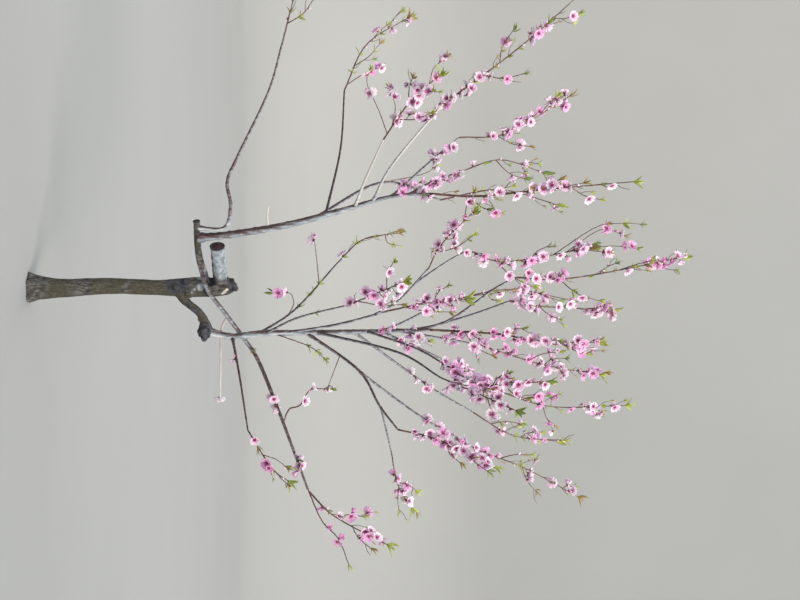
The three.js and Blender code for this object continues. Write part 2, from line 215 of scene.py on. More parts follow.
# Knobs of scar wood: middle, reach of the cluster, number of lumps and the lumps' radii, in millimetres.
KNOBS = [
    ((1, -9, 742), 12, 9, (8, 13)),
    ((-26, -11, 731), 9, 5, (7, 11)),
    ((165, -13, 642), 21, 20, (9, 15)),
    ((120, -14, 624), 10, 4, (6, 9)),
    ((-196, -72, 612), 7, 4, (5, 8)),
    ((20, -10, 585), 18, 5, (9, 13)),
]
KNOB_SPREAD = 0.5
KNOB_SEED = 11
# Hollows that rot has left where branches came off: middle, radius and depth.
HOLLOWS = [((-32, -24, 662), 24, 19), ((24, -34, 560), 12, 7), ((-22, 26, 520), 13, 8)]
# Where the bark is bleached, mossy, stained dark, or chipped off to the bare wood: middle and reach. The
# dark spots are real stains on scars, and painted shade in the big hollow and along the underside of the
# stub. The fade says how fast a spot ends.
BLEACHED = [((-70, -50, 705), 40), ((-112, -78, 697), 44), ((-50, -20, 630), 24), ((0, -30, 625), 13),
            ((8, -34, 604), 4), ((20, -30, 594), 4)]
MOSSY = [((28, -22, 530), 42), ((12, -25, 430), 60), ((-12, 0, 290), 60), ((20, 10, 110), 60),
         ((62, -8, 590), 40), ((118, -12, 630), 26), ((-160, -62, 606), 22), ((22, -20, 640), 26)]
STAINED_AND_SHADED = [((-12, -28, 540), 38), ((0, -12, 746), 24), ((-27, -14, 731), 19), ((166, -20, 640), 34),
           # Painted shade: these darken the big hollow and the underside of the stub, where shade falls.
           ((-32, -24, 662), 30), ((-60, -44, 682), 15), ((-86, -62, 677), 15), ((-112, -80, 672), 15),
           ((92, -14, 606), 17), ((64, -10, 580), 15)]
CHIPPED = [((11, -29, 720), 6), ((18, -26, 712), 6), ((24, -21, 704), 5)]
SPOT_FADE = 0.7
# The rolled lips of bark round the two sawn ends.
LIPS = [("cut_stub", 25), ("left_arm", 11)]
LIP_RADIUS = 3.4
LIP_SIDES = (32, 10)
VOXEL = 2.6
SMOOTHING = {"factor": 0.6, "iterations": 5}
# The bark's plates and the grain on them: their size and their relief, drawn out along the trunk.
BARK_RELIEFS = [(15, 3.4), (4, 1.1)]
BARK_STRETCH = 3.0
BARK_DEPTH = 3


class Line:
    """A smooth line through points in millimetres, with places on it by share of its length."""
    PARTS = 200
    STEP = 0.0001

    def __init__(self, points):
        given = np.array(points, float)
        self.points = np.vstack([2 * given[0] - given[1], given, 2 * given[-1] - given[-2]])
        self.spans = len(given) - 1
        self.marks = np.arange(self.PARTS + 1) / self.PARTS
        steps = np.linalg.norm(np.diff(self.at_mark(self.marks), axis=0), axis=1)
        self.reached = np.concatenate([[0], np.cumsum(steps)])
        self.length = self.reached[-1]

    def at_mark(self, mark):
        """Places at marks, which run from 0 to 1 with as much of that for each span between two points."""
        mark = np.atleast_1d(mark) * self.spans
        span = np.minimum(np.floor(mark).astype(int), self.spans - 1)
        part = (mark - span)[:, None]
        before, start, end, after = (self.points[span + k] for k in range(4))
        leave, arrive = (end - before) / 2, (after - start) / 2
        return (start + leave * part + (3 * (end - start) - 2 * leave - arrive) * part ** 2
                + (2 * (start - end) + leave + arrive) * part ** 3)

    def mark(self, share):
        """The marks at shares of the length."""
        return np.interp(np.atleast_1d(share) * self.length, self.reached, self.marks)

    def at(self, share):
        """Places at shares of the length, one row each."""
        return self.at_mark(self.mark(share))

    def along(self, share):
        """Directions of growth at shares of the length."""
        mark = self.mark(share)
        way = self.at_mark(np.minimum(mark + self.STEP, 1)) - self.at_mark(np.maximum(mark - self.STEP, 0))
        return way / np.linalg.norm(way, axis=1)[:, None]


def turn_ring(before, after, place):
    """Turns what is selected from one direction of growth to the next, about its own middle."""
    turn = Vector(before).rotation_difference(Vector(after)).to_euler("XYZ")
    for axis, angle in zip("XYZ", turn):
        bpy.ops.transform.rotate(value=-angle, orient_axis=axis, orient_type="GLOBAL", center_override=place)


def extrude_limb(name, line, radius_at, rings, sides):
    """A limb: a round at its foot, extruded ring by ring along its line, turned and drawn to its size."""
    shares = np.linspace(0, 1, rings + 1)
    places = [Vector(p) * MM for p in line.at(shares)]
    ways = [Vector(w) for w in line.along(shares)]
    radii = [radius_at(share) * MM for share in shares]
    bpy.ops.object.select_all(action="DESELECT")
    bpy.ops.mesh.primitive_circle_add(vertices=sides, radius=radii[0], fill_type="NGON")
    limb = bpy.context.object
    limb.name = name
    bpy.ops.object.mode_set(mode="EDIT")
    bpy.ops.mesh.select_all(action="SELECT")
    turn_ring((0, 0, 1), ways[0], (0, 0, 0))
    bpy.ops.transform.translate(value=places[0])
    for i in range(1, rings + 1):
        bpy.ops.mesh.extrude_region_move(TRANSFORM_OT_translate={"value": places[i] - places[i - 1]})
        turn_ring(ways[i - 1], ways[i], places[i])
        drawn = radii[i] / radii[i - 1]
        bpy.ops.transform.resize(value=(drawn, drawn, drawn), center_override=places[i])
    bpy.ops.object.mode_set(mode="OBJECT")
    return limb


def choose(*pieces):
    """Selects these pieces and nothing else, and makes the first the active one."""
    bpy.ops.object.select_all(action="DESELECT")
    for piece in pieces:
        piece.select_set(True)
    bpy.context.view_layer.objects.active = pieces[0]


def join(name, pieces):
    """The pieces as one object under a new name."""
    choose(*pieces)
    bpy.ops.object.join()
    pieces[0].name = pieces[0].data.name = name
    return pieces[0]


def smooth(piece):
    """Shades a piece smoothly."""
    choose(piece)
    bpy.ops.object.shade_smooth()


def apply_modifier(piece, kind, **settings):
    """Puts one modifier on a piece and applies it."""
    bpy.context.view_layer.objects.active = piece
    modifier = piece.modifiers.new(kind.lower(), kind)
    for name, setting in settings.items():
        setattr(modifier, name, setting)
    bpy.ops.object.modifier_apply(modifier=modifier.name)


def corners_of(piece):
    """The corners of a piece's mesh in metres, one row each."""
    corners = np.zeros(len(piece.data.vertices) * 3)
    piece.data.vertices.foreach_get("co", corners)
    return corners.reshape(-1, 3)


def set_corners(piece, corners):
    """Puts the corners of a piece's mesh at new places in metres."""
    piece.data.vertices.foreach_set("co", np.asarray(corners, np.float32).ravel())
    piece.data.update()


def roughen(piece, size, relief, depth, **settings):
    """Raises and sinks a piece's surface in clouds of a size and a relief in millimetres."""
    clouds = bpy.data.textures.new(piece.name + "_relief", "CLOUDS")
    clouds.noise_scale = size * MM
    clouds.noise_depth = depth
    apply_modifier(piece, "DISPLACE", texture=clouds, strength=relief * MM, mid_level=0.5, **settings)


def weathered_bark():
    """Old almond bark, thick, cracked along the trunk and never brushed: grey plates with dark cracks. It is
    bleached with pale crusts on the stub, stained blue-black on scars, mossy in places, and chipped off to
    the bare wood in a few spots. The same blue-black is painted shade in the big hollow and along the
    underside of the stub."""
    bark, surface = new_material("weathered_almond_bark", Roughness=0.92, Specular_IOR_Level=0.25)
    place = add_node(bark, "TexCoord")["Object"]
    drawn = add_node(bark, "Mapping", {"Vector": place, "Scale": (1, 1, 0.4)})["Vector"]
    plates = add_node(bark, "TexNoise", {"Vector": drawn, "Scale": grains(9 * MM), "Detail": 6.0,
                                         "Roughness": 0.6})["Fac"]
    fibres = add_node(bark, "TexNoise", {"Vector": place, "Scale": grains(2.4 * MM), "Detail": 3.0})["Fac"]
    crusts = add_node(bark, "TexNoise", {"Vector": place, "Scale": grains(18 * MM), "Detail": 6.0,
                                         "Roughness": 0.7})["Fac"]
    shade = add_node(bark, "ValToRGB", {"Fac": plates},
                     [(0.32, "#2a282a"), (0.7, "#8f8f8d"), (0.46, "#52504d"), (0.58, "#706e6a")])["Color"]
    state = add_node(bark, "Attribute", attribute_name="state")
    states = add_node(bark, "SeparateColor", {"Color": state["Color"]})
    ragged = add_node(bark, "Math", {0: crusts, 1: 0.9, 2: -0.45}, operation="MULTIPLY_ADD")["Value"]
    for kind, strength, noise, (dark, light) in (
        (states["Green"], 0.75, fibres, ("#37362d", "#68644f")),
        (states["Red"], 0.9, crusts, ("#858c92", "#c6d3db")),
        # Blue: dark stains on scars, and painted shade in the big hollow and under the stub.
        (states["Blue"], 0.9, crusts, ("#29282d", "#5f6068")),
        (state["Alpha"], 1.0, fibres, ("#c3bbae", "#e6e0d4")),
    ):
        frayed = add_node(bark, "Math", {0: kind, 1: ragged}, operation="ADD")["Value"]
        edge = add_node(bark, "MapRange", {"Value": frayed, "From Min": 0.25, "From Max": 0.62,
                                           "To Max": strength})["Result"]
        tone = add_node(bark, "ValToRGB", {"Fac": noise}, [(0.38, dark), (0.62, light)])["Color"]
        shade = add_node(bark, "Mix", {0: edge, 6: shade, 7: tone}, data_type="RGBA")[2]
    relief = add_node(bark, "Math", {0: plates, 1: fibres}, operation="ADD")["Value"]
    bump = add_node(bark, "Bump", {"Height": relief, "Strength": 0.8, "Distance": 0.004})["Normal"]
    link(bark, surface, Base_Color=shade, Normal=bump)
    return bark


def spread(corners, spots):
    """How strongly each corner lies in the spots, from 0 to 1."""
    strength = np.zeros(len(corners))
    for middle, reach in spots:
        away = np.linalg.norm(corners - np.array(middle) * MM, axis=1) / (reach * MM)
        strength = np.maximum(strength, np.exp(-(away ** 3) * SPOT_FADE))
    return strength


def between(pairs, place):
    """A value at a place between the pairs of place and value."""
    return float(np.interp(place, [p for p, _ in pairs], [v for _, v in pairs]))


def evenly(values):
    """A function of the share along a limb, between values spaced evenly along it."""
    return lambda share: float(np.interp(share, np.linspace(0, 1, len(values)), values))


grown = {"trunk": (Line(TRUNK_HEART), None)}
for name, parent, share, radii, points in OLD_LIMBS:
    grown[name] = (Line([grown[parent][0].at(share)[0], *points]), evenly(radii))
heart = grown["trunk"][0]


def heart_share(height, marks):
    """How far along the trunk's heart a height in millimetres lies, read at so many marks."""
    shares = np.linspace(0, 1, marks)
    return float(np.interp(height, heart.at(shares)[:, 2], shares))


ground = heart_share(0, GROUND_MARKS)
above = Line(heart.at(np.linspace(ground, 1, TRUNK_BENDS)))
trunk = extrude_limb("trunk_wood", above, lambda share: between(TRUNK_PROFILE, above.at(share)[0][2]),
                     TRUNK_RINGS, TRUNK_SIDES)
corners = corners_of(trunk)
flare = np.clip(1 - corners[:, 2] / MM / ROOT_FLARE_HEIGHT, 0, 1) ** 2
lobes = 1 - ROOT_LOBE_DEPTH * flare * np.cos(ROOT_LOBES * np.arctan2(corners[:, 1], corners[:, 0]))
middle = heart.at(ground)[0][:2] * MM
corners[:, :2] = middle + (corners[:, :2] - middle) * lobes[:, None]
set_corners(trunk, corners)

wood_parts = [trunk]
for name, *_ in OLD_LIMBS:
    line, radius_at = grown[name]
    rings = round(line.length / OLD_LIMB_STEP)
    wood_parts.append(extrude_limb(name + "_wood", line, radius_at, rings, OLD_LIMB_SIDES))
lumps = np.random.default_rng(KNOB_SEED)
for knob, reach, count, radii in KNOBS:
    for _ in range(count):
        place = (np.array(knob) + lumps.normal(0, KNOB_SPREAD, 3) * reach) * MM
        radius = lumps.uniform(*radii) * MM
        bpy.ops.mesh.primitive_ico_sphere_add(subdivisions=3, radius=radius, location=place)
        bpy.ops.object.transform_apply()
        wood_parts.append(bpy.context.object)
for name, radius in LIPS:
    end, way = grown[name][0].at(1)[0], Vector(grown[name][0].along(1)[0])
    bpy.ops.mesh.primitive_torus_add(major_segments=LIP_SIDES[0], minor_segments=LIP_SIDES[1],
                                     major_radius=radius * MM, minor_radius=LIP_RADIUS * MM,
                                     location=end * MM, rotation=way.to_track_quat("Z", "Y").to_euler())
    bpy.ops.object.transform_apply()
    wood_parts.append(bpy.context.object)
old_wood = join("old_wood", wood_parts)
apply_modifier(old_wood, "REMESH", mode="VOXEL", voxel_size=VOXEL * MM)
apply_modifier(old_wood, "SMOOTH", **SMOOTHING)

corners = corners_of(old_wood)
for hollow, radius, depth in HOLLOWS:
    inwards = (heart.at(heart_share(hollow[2], HOLLOW_MARKS))[0] - hollow) * MM
    inwards /= np.linalg.norm(inwards)
    near = np.linalg.norm(corners - np.array(hollow) * MM, axis=1) / (radius * MM)
    corners += np.exp(-(near ** 4))[:, None] * inwards * depth * MM
set_corners(old_wood, corners)

bpy.ops.object.empty_add()
stretch = bpy.context.object
stretch.scale = (1, 1, BARK_STRETCH)
bpy.context.view_layer.update()
for size, relief in BARK_RELIEFS:
    roughen(old_wood, size, relief, BARK_DEPTH, texture_coords="OBJECT", texture_coords_object=stretch)
bpy.data.objects.remove(stretch)
corners = corners_of(old_wood)
corners[:, 2] = np.maximum(corners[:, 2], 0)
set_corners(old_wood, corners)
states = old_wood.data.attributes.new("state", "FLOAT_COLOR", "POINT")
bleached, mossy, stained_and_shaded, chipped = [spread(corners, spots) for spots in (BLEACHED, MOSSY, STAINED_AND_SHADED, CHIPPED)]
for name, radius in LIPS:
    away = corners / MM - grown[name][0].at(1)[0]
    past = away @ grown[name][0].along(1)[0] > -LIP_RADIUS
    lip = past & (np.linalg.norm(away, axis=1) < radius + 3 * LIP_RADIUS)
    bleached[lip] = 0
    stained_and_shaded[lip] = 1
states.data.foreach_set("color", np.column_stack((bleached, mossy, stained_and_shaded, chipped)).ravel())
smooth(old_wood)
old_wood.data.materials.clear()
old_wood.data.materials.append(weathered_bark())
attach(old_wood, "root")
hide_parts("trunk", "cut_stub", "left_arm", "right_arm")


# Sawn ends: the faces where the stub and the left arm were sawn off years ago, stained by the damp. The
# rolled lip of bark round each is slowly closing over it. The arm's face is dished a little. The stub's is
# flat, because all of it is selected when it is inset, so the insets take no hold on it.
SAWN_ENDS = [("cut_stub", 24), ("left_arm", 11)]
SAWN_SIDES = 32
SAWN_RINGS = 6
SAWN_DISH = 2.5
SAWN_PROUD = 2.6
SAW_MARKS = 0.25
SAW_SEED = 23
# The width of a year ring, and how far it wavers as a share of that.
YEAR_RING = 2.2
RING_WAVER = 0.8


def sawn_wood(middle, way):
    """Sawn almond wood gone grey-brown in the weather, left as the saw left it: year rings in reddish
    brown, with dark stains where the damp has got in."""
    wood, surface = new_material("sawn_weathered_almond", Roughness=0.85, Specular_IOR_Level=0.3)
    place = add_node(wood, "TexCoord")["Object"]
    off = add_node(wood, "VectorMath", {0: place, 1: middle}, operation="SUBTRACT")["Vector"]
    across = add_node(wood, "VectorMath", {0: off, 1: way}, operation="CROSS_PRODUCT")["Vector"]
    far = add_node(wood, "VectorMath", {0: across}, operation="LENGTH")["Value"]
    wobble = add_node(wood, "TexNoise", {"Vector": place, "Scale": grains(6 * MM), "Detail": 3.0})["Fac"]
    bent = add_node(wood, "Math", {0: wobble, 1: YEAR_RING * MM * RING_WAVER, 2: far},
                    operation="MULTIPLY_ADD")["Value"]
    waves = add_node(wood, "Math", {0: bent, 1: 2 * math.pi / (YEAR_RING * MM)},
                     operation="MULTIPLY")["Value"]
    rings = add_node(wood, "Math", {0: waves}, operation="SINE")["Value"]
    tone = add_node(wood, "MapRange", {"Value": rings, "From Min": -1, "From Max": 1})["Result"]
    grain = add_node(wood, "ValToRGB", {"Fac": tone}, [(0.1, "#3a2527"), (0.9, "#644a45")])["Color"]
    stain = add_node(wood, "MapRange", {"Value": wobble, "From Min": 0.44, "From Max": 0.62,
                                        "To Max": 0.7})["Result"]
    stained_grain = add_node(wood, "Mix", {0: stain, 6: grain, 7: colour("#2a1f27")}, data_type="RGBA")[2]
    bump = add_node(wood, "Bump", {"Height": rings, "Strength": 0.5, "Distance": 0.001})["Normal"]
    link(wood, surface, Base_Color=stained_grain, Normal=bump)
    return wood


for name, radius in SAWN_ENDS:
    line = grown[name][0]
    end = Vector(line.at(1)[0]) * MM
    way = Vector(line.along(1)[0])
    bpy.ops.object.select_all(action="DESELECT")
    bpy.ops.mesh.primitive_cylinder_add(vertices=SAWN_SIDES, radius=radius * MM, depth=4 * SAWN_PROUD * MM,
                                        end_fill_type="NGON", location=(0, 0, -SAWN_PROUD * MM))
    bpy.ops.object.transform_apply()
    face = bpy.context.object
    face.name = name + "_sawn_face"
    for part in face.data.polygons:
        part.select = part.normal.z > 0.9
    bpy.ops.object.mode_set(mode="EDIT")
    bpy.ops.mesh.select_mode(type="FACE")
    for i in range(SAWN_RINGS):
        bpy.ops.mesh.inset(thickness=radius * MM / (SAWN_RINGS + 1))
        bpy.ops.transform.translate(value=(0, 0, -SAWN_DISH * MM / (SAWN_RINGS + i)))
    bpy.ops.object.mode_set(mode="OBJECT")
    corners = corners_of(face)
    corners += np.random.default_rng(SAW_SEED).normal(0, SAW_MARKS * MM, corners.shape)
    turn = np.array(way.to_track_quat("Z", "Y").to_matrix())
    set_corners(face, corners @ turn.T + np.array(end))
    smooth(face)
    face.data.materials.append(sawn_wood(end, way))
    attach(face, "root")


# Leaders and boughs: two upright leaders and the long shoots they have thrown since the tree was cut
# back. The bark is thin, smooth and waxy, and it swells at each node where a leaf stood last year.
LEADERS = [
    ("left_leader", "left_arm", 0.75, (13, 12.5, 12, 10, 6.5, 4.6),
     [(-190, -70, 745), (-225, -65, 945), (-275, -60, 1130), (-325, -75, 1310), (-335, -90, 1450)]),
    ("right_leader", "right_arm", 0.93, (12, 11.5, 10.5, 9, 6.5, 5),
     [(180, -15, 745), (168, -20, 845), (165, -15, 1060), (160, -10, 1265), (155, -20, 1455)]),
]
BOUGHS = [
    ("bough_left_1", "left_arm", 0.9, (7, 6.5, 6, 5, 4.4, 3.8, 3.4),
     [(-212, -96, 715), (-290, -108, 738), (-375, -120, 727), (-465, -135, 765), (-690, -175, 875),
      (-860, -195, 925)]),
    ("bough_left_2", "left_leader", 0.55, (5, 4, 3), [(-515, 180, 1130), (-755, 360, 1145)]),
    ("bough_left_3", "left_leader", 0.68, (5, 4, 3), [(-385, -120, 1220), (-510, -330, 1280)]),
    ("bough_left_4", "left_leader", 0.76, (5.5, 4.5, 3.2), [(-435, -110, 1315), (-650, -180, 1495)]),
    ("bough_left_5", "left_leader", 0.84, (5, 4, 3), [(-475, 200, 1470), (-570, 300, 1580)]),
    ("bough_left_6", "left_leader", 0.91, (4, 3.2, 2.6), [(-385, 0, 1465), (-425, 80, 1570)]),
    ("bough_left_7", "left_leader", 0.5, (6, 4.8, 3.4), [(-395, 230, 1290), (-345, 520, 1520)]),
    ("bough_middle_1", "right_leader", 0.24, (4.5, 3.6, 2.8), [(80, 100, 965), (-95, 300, 1120)]),
    ("bough_middle_2", "right_leader", 0.27, (4.5, 3.6, 2.8), [(110, -110, 980), (65, -270, 1155)]),
    ("bough_middle_3", "right_leader", 0.36, (5.5, 4.5, 3.2), [(135, -50, 1120), (85, -120, 1305)]),
    ("bough_middle_4", "bough_middle_3", 0.86, (3.6, 3.2, 2.6), [(50, -150, 1335), (-65, -265, 1440)]),
    ("bough_middle_5", "bough_middle_4", 0.72, (2.9, 2.7, 2.4), [(-85, -225, 1500), (-130, -190, 1580)]),
    ("bough_middle_6", "right_leader", 0.55, (6, 4.8, 3.4), [(160, 230, 1290), (60, 520, 1520)]),
    ("bough_middle_7", "right_leader", 0.93, (4.8, 4.2, 3.6),
     [(120, -10, 1525), (5, 20, 1695), (-35, 30, 1775)]),
    ("bough_middle_8", "bough_middle_7", 0.24, (3.8, 3.4, 2.8), [(100, 80, 1615), (50, 180, 1765)]),
    ("bough_right_1", "left_arm", 0.36, (8, 7.8, 7.4, 6.5, 5.4, 4),
     [(5, -60, 650), (100, -35, 718), (195, 12, 785), (275, 15, 835), (470, -20, 915), (735, -60, 1015)]),
    ("bough_right_2", "right_leader", 0.12, (5, 4, 2.8), [(315, -120, 770), (505, -220, 805)]),
    ("bough_right_3", "right_leader", 0.45, (6, 5, 3.4),
     [(300, -60, 1195), (425, -100, 1270), (510, -120, 1335)]),
    ("bough_right_4", "bough_right_3", 0.8, (3.8, 3.3, 2.6), [(510, 60, 1295), (615, 160, 1320)]),
    ("bough_right_5", "right_leader", 0.5, (5.5, 4.4, 3), [(230, -250, 1330), (310, -470, 1470)]),
    ("bough_right_6", "right_leader", 0.72, (4.6, 3.8, 2.8), [(220, -120, 1400), (275, -230, 1500)]),
    ("bough_right_7", "bough_right_3", 0.5, (4.4, 3.6, 2.8), [(480, 130, 1430), (625, 380, 1660)]),
    ("bough_right_8", "right_leader", 0.66, (5, 4, 3), [(370, 290, 1460), (480, 420, 1640)]),
    ("bough_right_9", "right_leader", 0.78, (5, 4.2, 3.2), [(275, 280, 1520), (380, 480, 1690)]),
    ("bough_right_10", "right_leader", 0.85, (4.4, 3.6, 2.8), [(205, 110, 1600), (240, 165, 1725)]),
]
# How silvered each limb is from base to tip, over or under the common state: partly the bark's own silvery
# skin and partly painted light, paler where the limb is lit and darker where it is in shade.
SILVER_AND_LIGHT = {
    "left_leader": (-0.1, -0.04, 0.03, 0.02, 0), "right_leader": (0.1, 0.09, 0.04, 0),
    "bough_left_1": (0.1, 0.08, -0.13, -0.12, -0.1, -0.1, -0.08, -0.08), "bough_left_2": (-0.06, -0.06),
    "bough_left_3": (0.22, 0.32), "bough_left_4": (0.2, 0.3), "bough_left_5": (0.1, 0.14),
    "bough_middle_6": (0.02, 0.04), "bough_right_1": (0.06, 0.02, -0.12, -0.12, -0.08, -0.04, 0),
    "bough_right_3": (-0.1, -0.08), "bough_right_4": (-0.1, -0.1),
}
BOUGH_SILVER_AND_LIGHT = (-0.04, -0.05)
LEADER_SIDES = 16
BOUGH_SIDES = 10
RING_STEP = 7
# Nodes stand so many millimetres apart, the first one a share of that from the foot, each a share of it off.
NODE_STEP = 31
NODE_START = (0.3, 0.9)
NODE_SHIFT = 0.25
NODE_SWELL = 0.13
NODE_SIZES = (0.4, 1.6)
NODE_LENGTH = 5
COLLAR_SWELL = 0.5
COLLAR_LENGTH = 16
LEADER_SEED = 300
BOUGH_SEED = 400
# The thin bark's unevenness: its size and its relief.
BARK_PITS = (6, 0.7)
PIT_DEPTH = 2


def noded(line, radius_at, collar, seed):
    """The radius along a limb with its collar and its nodes, as a function of the share."""
    draw = np.random.default_rng(seed)
    nodes = np.arange(draw.uniform(*NODE_START) * NODE_STEP, line.length, NODE_STEP)
    nodes = nodes + draw.uniform(-NODE_SHIFT, NODE_SHIFT, len(nodes)) * NODE_STEP
    sizes = NODE_SWELL * draw.uniform(*NODE_SIZES, len(nodes))

    def at(share):
        place = share * line.length
        swell = float(np.sum(sizes * np.exp(-((place - nodes) / NODE_LENGTH) ** 2)))
        foot = COLLAR_SWELL * math.exp(-max(0.0, place - collar) / COLLAR_LENGTH)
        return radius_at(share) * (1 + swell + foot)
    return at


def waxy_bark():
    """The thin smooth bark of young almond wood under the shoot's own waxy film: dark red-brown and silvered
    blue-grey in long streaks, with painted light that makes the side facing +X, where the light falls, paler
    and the other side darker, and fine pale lenticels that run across it. Each limb is made paler or darker
    as a whole by its attribute, partly its own silvery skin and partly painted light."""
    bark, surface = new_material("waxy_young_almond_bark", Roughness=0.5, Specular_IOR_Level=0.45)
    place = add_node(bark, "TexCoord")["Object"]
    drawn = add_node(bark, "Mapping", {"Vector": place, "Scale": (1, 1, 0.22)})["Vector"]
    streaks = add_node(bark, "TexNoise", {"Vector": drawn, "Scale": grains(9 * MM), "Detail": 5.0,
                                          "Roughness": 0.6})["Fac"]
    facing = add_node(bark, "NewGeometry")["Normal"]
    side = add_node(bark, "SeparateXYZ", {"Vector": facing})["X"]
    # Painted light: the side facing +X, where the light falls, is made paler and more silvered, the other
    # side darker.
    lit_side_shading = add_node(bark, "MapRange", {"Value": side, "From Min": -0.5, "From Max": 0.5, "To Min": -0.16,
                                          "To Max": 0.17})["Result"]
    film_and_lit_side = add_node(bark, "Math", {0: streaks, 1: lit_side_shading}, operation="ADD")["Value"]
    # Painted light and the limb's own silvery skin: how much paler or darker each limb is along its length.
    silver_and_light = add_node(bark, "Attribute", attribute_name="silver_and_light")["Fac"]
    bloom_and_light = add_node(bark, "Math", {0: film_and_lit_side, 1: silver_and_light}, operation="ADD")["Value"]
    tone = add_node(bark, "ValToRGB", {"Fac": bloom_and_light},
                    [(0.28, "#3a282c"), (0.9, "#ddd6cc"), (0.45, "#62504f"), (0.58, "#858a91"),
                     (0.74, "#b1bdc8")])["Color"]
    crossed = add_node(bark, "Mapping", {"Vector": place, "Scale": (1, 1, 3.2)})["Vector"]
    pores = add_node(bark, "TexNoise", {"Vector": crossed, "Scale": grains(4 * MM), "Detail": 1.0})["Fac"]
    pore_edge = add_node(bark, "MapRange", {"Value": pores, "From Min": 0.66, "From Max": 0.72,
                                            "To Max": 0.6})["Result"]
    dotted = add_node(bark, "Mix", {0: pore_edge, 6: tone, 7: colour("#c8bda9")}, data_type="RGBA")[2]
    relief = add_node(bark, "Math", {0: streaks, 1: pore_edge}, operation="ADD")["Value"]
    bump = add_node(bark, "Bump", {"Height": relief, "Strength": 0.35, "Distance": 0.0012})["Normal"]
    link(bark, surface, Base_Color=dotted, Normal=bump)
    return bark


def grow_limbs(rows, sides, first_seed):
    """The limbs of a table as extruded wood, with nodes and collars."""
    made = []
    for i, (name, parent, share, radii, points) in enumerate(rows):
        parent_line, parent_radius = grown[parent]
        line = Line([parent_line.at(share)[0], *points])
        grown[name] = (line, evenly(radii))
        radius_at = noded(line, evenly(radii), parent_radius(share), first_seed + i)
        limb = extrude_limb(name, line, radius_at, round(line.length / RING_STEP), sides)
        # Each ring's tone: the limb's own silvery skin and painted light, paler where lit and darker in
        # shade.
        silver_and_light = evenly(SILVER_AND_LIGHT.get(name, BOUGH_SILVER_AND_LIGHT))
        rings = len(limb.data.vertices) // sides
        silvered_and_lit = limb.data.attributes.new("silver_and_light", "FLOAT", "POINT")
        strengths = [silver_and_light(ring / (rings - 1)) for ring in range(rings)]
        silvered_and_lit.data.foreach_set("value", np.repeat(strengths, sides))
        made.append(limb)
    return made


young_bark = waxy_bark()
for name, rows, sides, seed in (
    ("leaders", LEADERS, LEADER_SIDES, LEADER_SEED),
    ("boughs", BOUGHS, BOUGH_SIDES, BOUGH_SEED),
):
    wood = join(name, grow_limbs(rows, sides, seed))
    roughen(wood, *BARK_PITS, PIT_DEPTH, texture_coords="LOCAL")
    smooth(wood)
    wood.data.materials.append(young_bark)
    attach(wood, "root")
    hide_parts(*[row[0] for row in rows])


# Shoots: last year's growth, that goes on from the tip of each limb as a stem with side twigs, finer
# shoots and short fruiting spurs, and a few thin shoots lower down. They are dark red and flexible. The
# stems and side twigs are the same as in the solids, grown by the same seeded rule.
SEAT_GAP = 0.3
SPRAYS = [
    ("left_leader", [(-325, -120, 1620), (-345, -185, 1850), (-370, -250, 2165)]),
    ("right_leader", [(170, -55, 1700), (195, -75, 1850), (200, -100, 2060)]),
    ("bough_left_1", [(-1010, -215, 965), (-1100, -225, 995)]),
    ("bough_left_2", [(-940, 440, 1230), (-1055, 500, 1395)]),
    ("bough_left_3", [(-615, -520, 1360), (-690, -700, 1455)]),
    ("bough_left_4", [(-735, -230, 1620), (-865, -270, 1790), (-1050, -315, 2000)]),
    ("bough_left_5", [(-595, 380, 1770), (-745, 450, 2020)]),
    ("bough_left_6", [(-475, 150, 1725), (-430, 200, 1895)]),
    ("bough_left_7", [(-395, 700, 1770), (-340, 830, 2020)]),
    ("bough_middle_1", [(-185, 400, 1215), (-215, 520, 1350)]),
    ("bough_middle_2", [(30, -400, 1240), (-15, -550, 1345)]),
    ("bough_middle_3", [(60, -230, 1425), (45, -350, 1565)]),
    ("bough_middle_4", [(-145, -345, 1480), (-255, -455, 1585)]),
    ("bough_middle_5", [(-90, -165, 1720), (-140, -150, 2025)]),
    ("bough_middle_6", [(5, 720, 1800), (45, 870, 2065)]),
    ("bough_middle_7", [(-35, 40, 1990), (-110, 50, 2390)]),
    ("bough_middle_8", [(70, 250, 1880), (85, 350, 2175)]),
    ("bough_right_1", [(825, -80, 1110), (925, -110, 1300)]),
    ("bough_right_2", [(630, -290, 890), (675, -325, 950)]),
    ("bough_right_3", [(545, -165, 1480), (640, -200, 1675)]),
    ("bough_right_4", [(740, 260, 1345), (845, 350, 1400)]),
    ("bough_right_5", [(350, -630, 1570), (405, -800, 1700)]),
    ("bough_right_6", [(340, -345, 1620), (325, -455, 1835)]),
    ("bough_right_7", [(710, 520, 1860), (830, 620, 2075)]),
    ("bough_right_8", [(575, 510, 1800), (605, 580, 1985)]),
    ("bough_right_9", [(470, 640, 1960), (475, 780, 2290)]),
    ("bough_right_10", [(295, 235, 1910), (330, 300, 2120)]),
]
SPRAY_SEED = 4100
STEM_TIP_RADIUS = 1.5
TWIG_SPACING = 160
MOST_TWIGS = 4
TWIG_REACH = 165
TWIG_REACH_LOST = 0.45
TWIG_REACH_SHARES = (0.7, 1.2)
TWIG_RADII = (2, 1.2)
TWIG_SHARES = (0.16, 0.86)
TWIG_LEANS = (0.6, 0.95)
TWIG_CHECKS = 6
GOLDEN_TURN = math.pi * (3 - math.sqrt(5))
# How clear twigs keep of limbs and of other sprays, and the rings of the solids that this is measured from.
LIMB_ROOM = 2
SPACE_ROOM = 3
OLD_LIMB = 15
SOURCE_OLD_RING_STEP = 25
SOURCE_RING_STEP = 95
SOURCE_TRUNK_RINGS = 22
STEM_STRETCHES = 14
BLOSSOM_SPACING = 116
BLOSSOM_SHARES = (0.08, 0.95)
TWIG_BLOSSOM_SHARES = (0.4, 0.7)
BLOSSOM_LEANS = (1.1, 1.5)


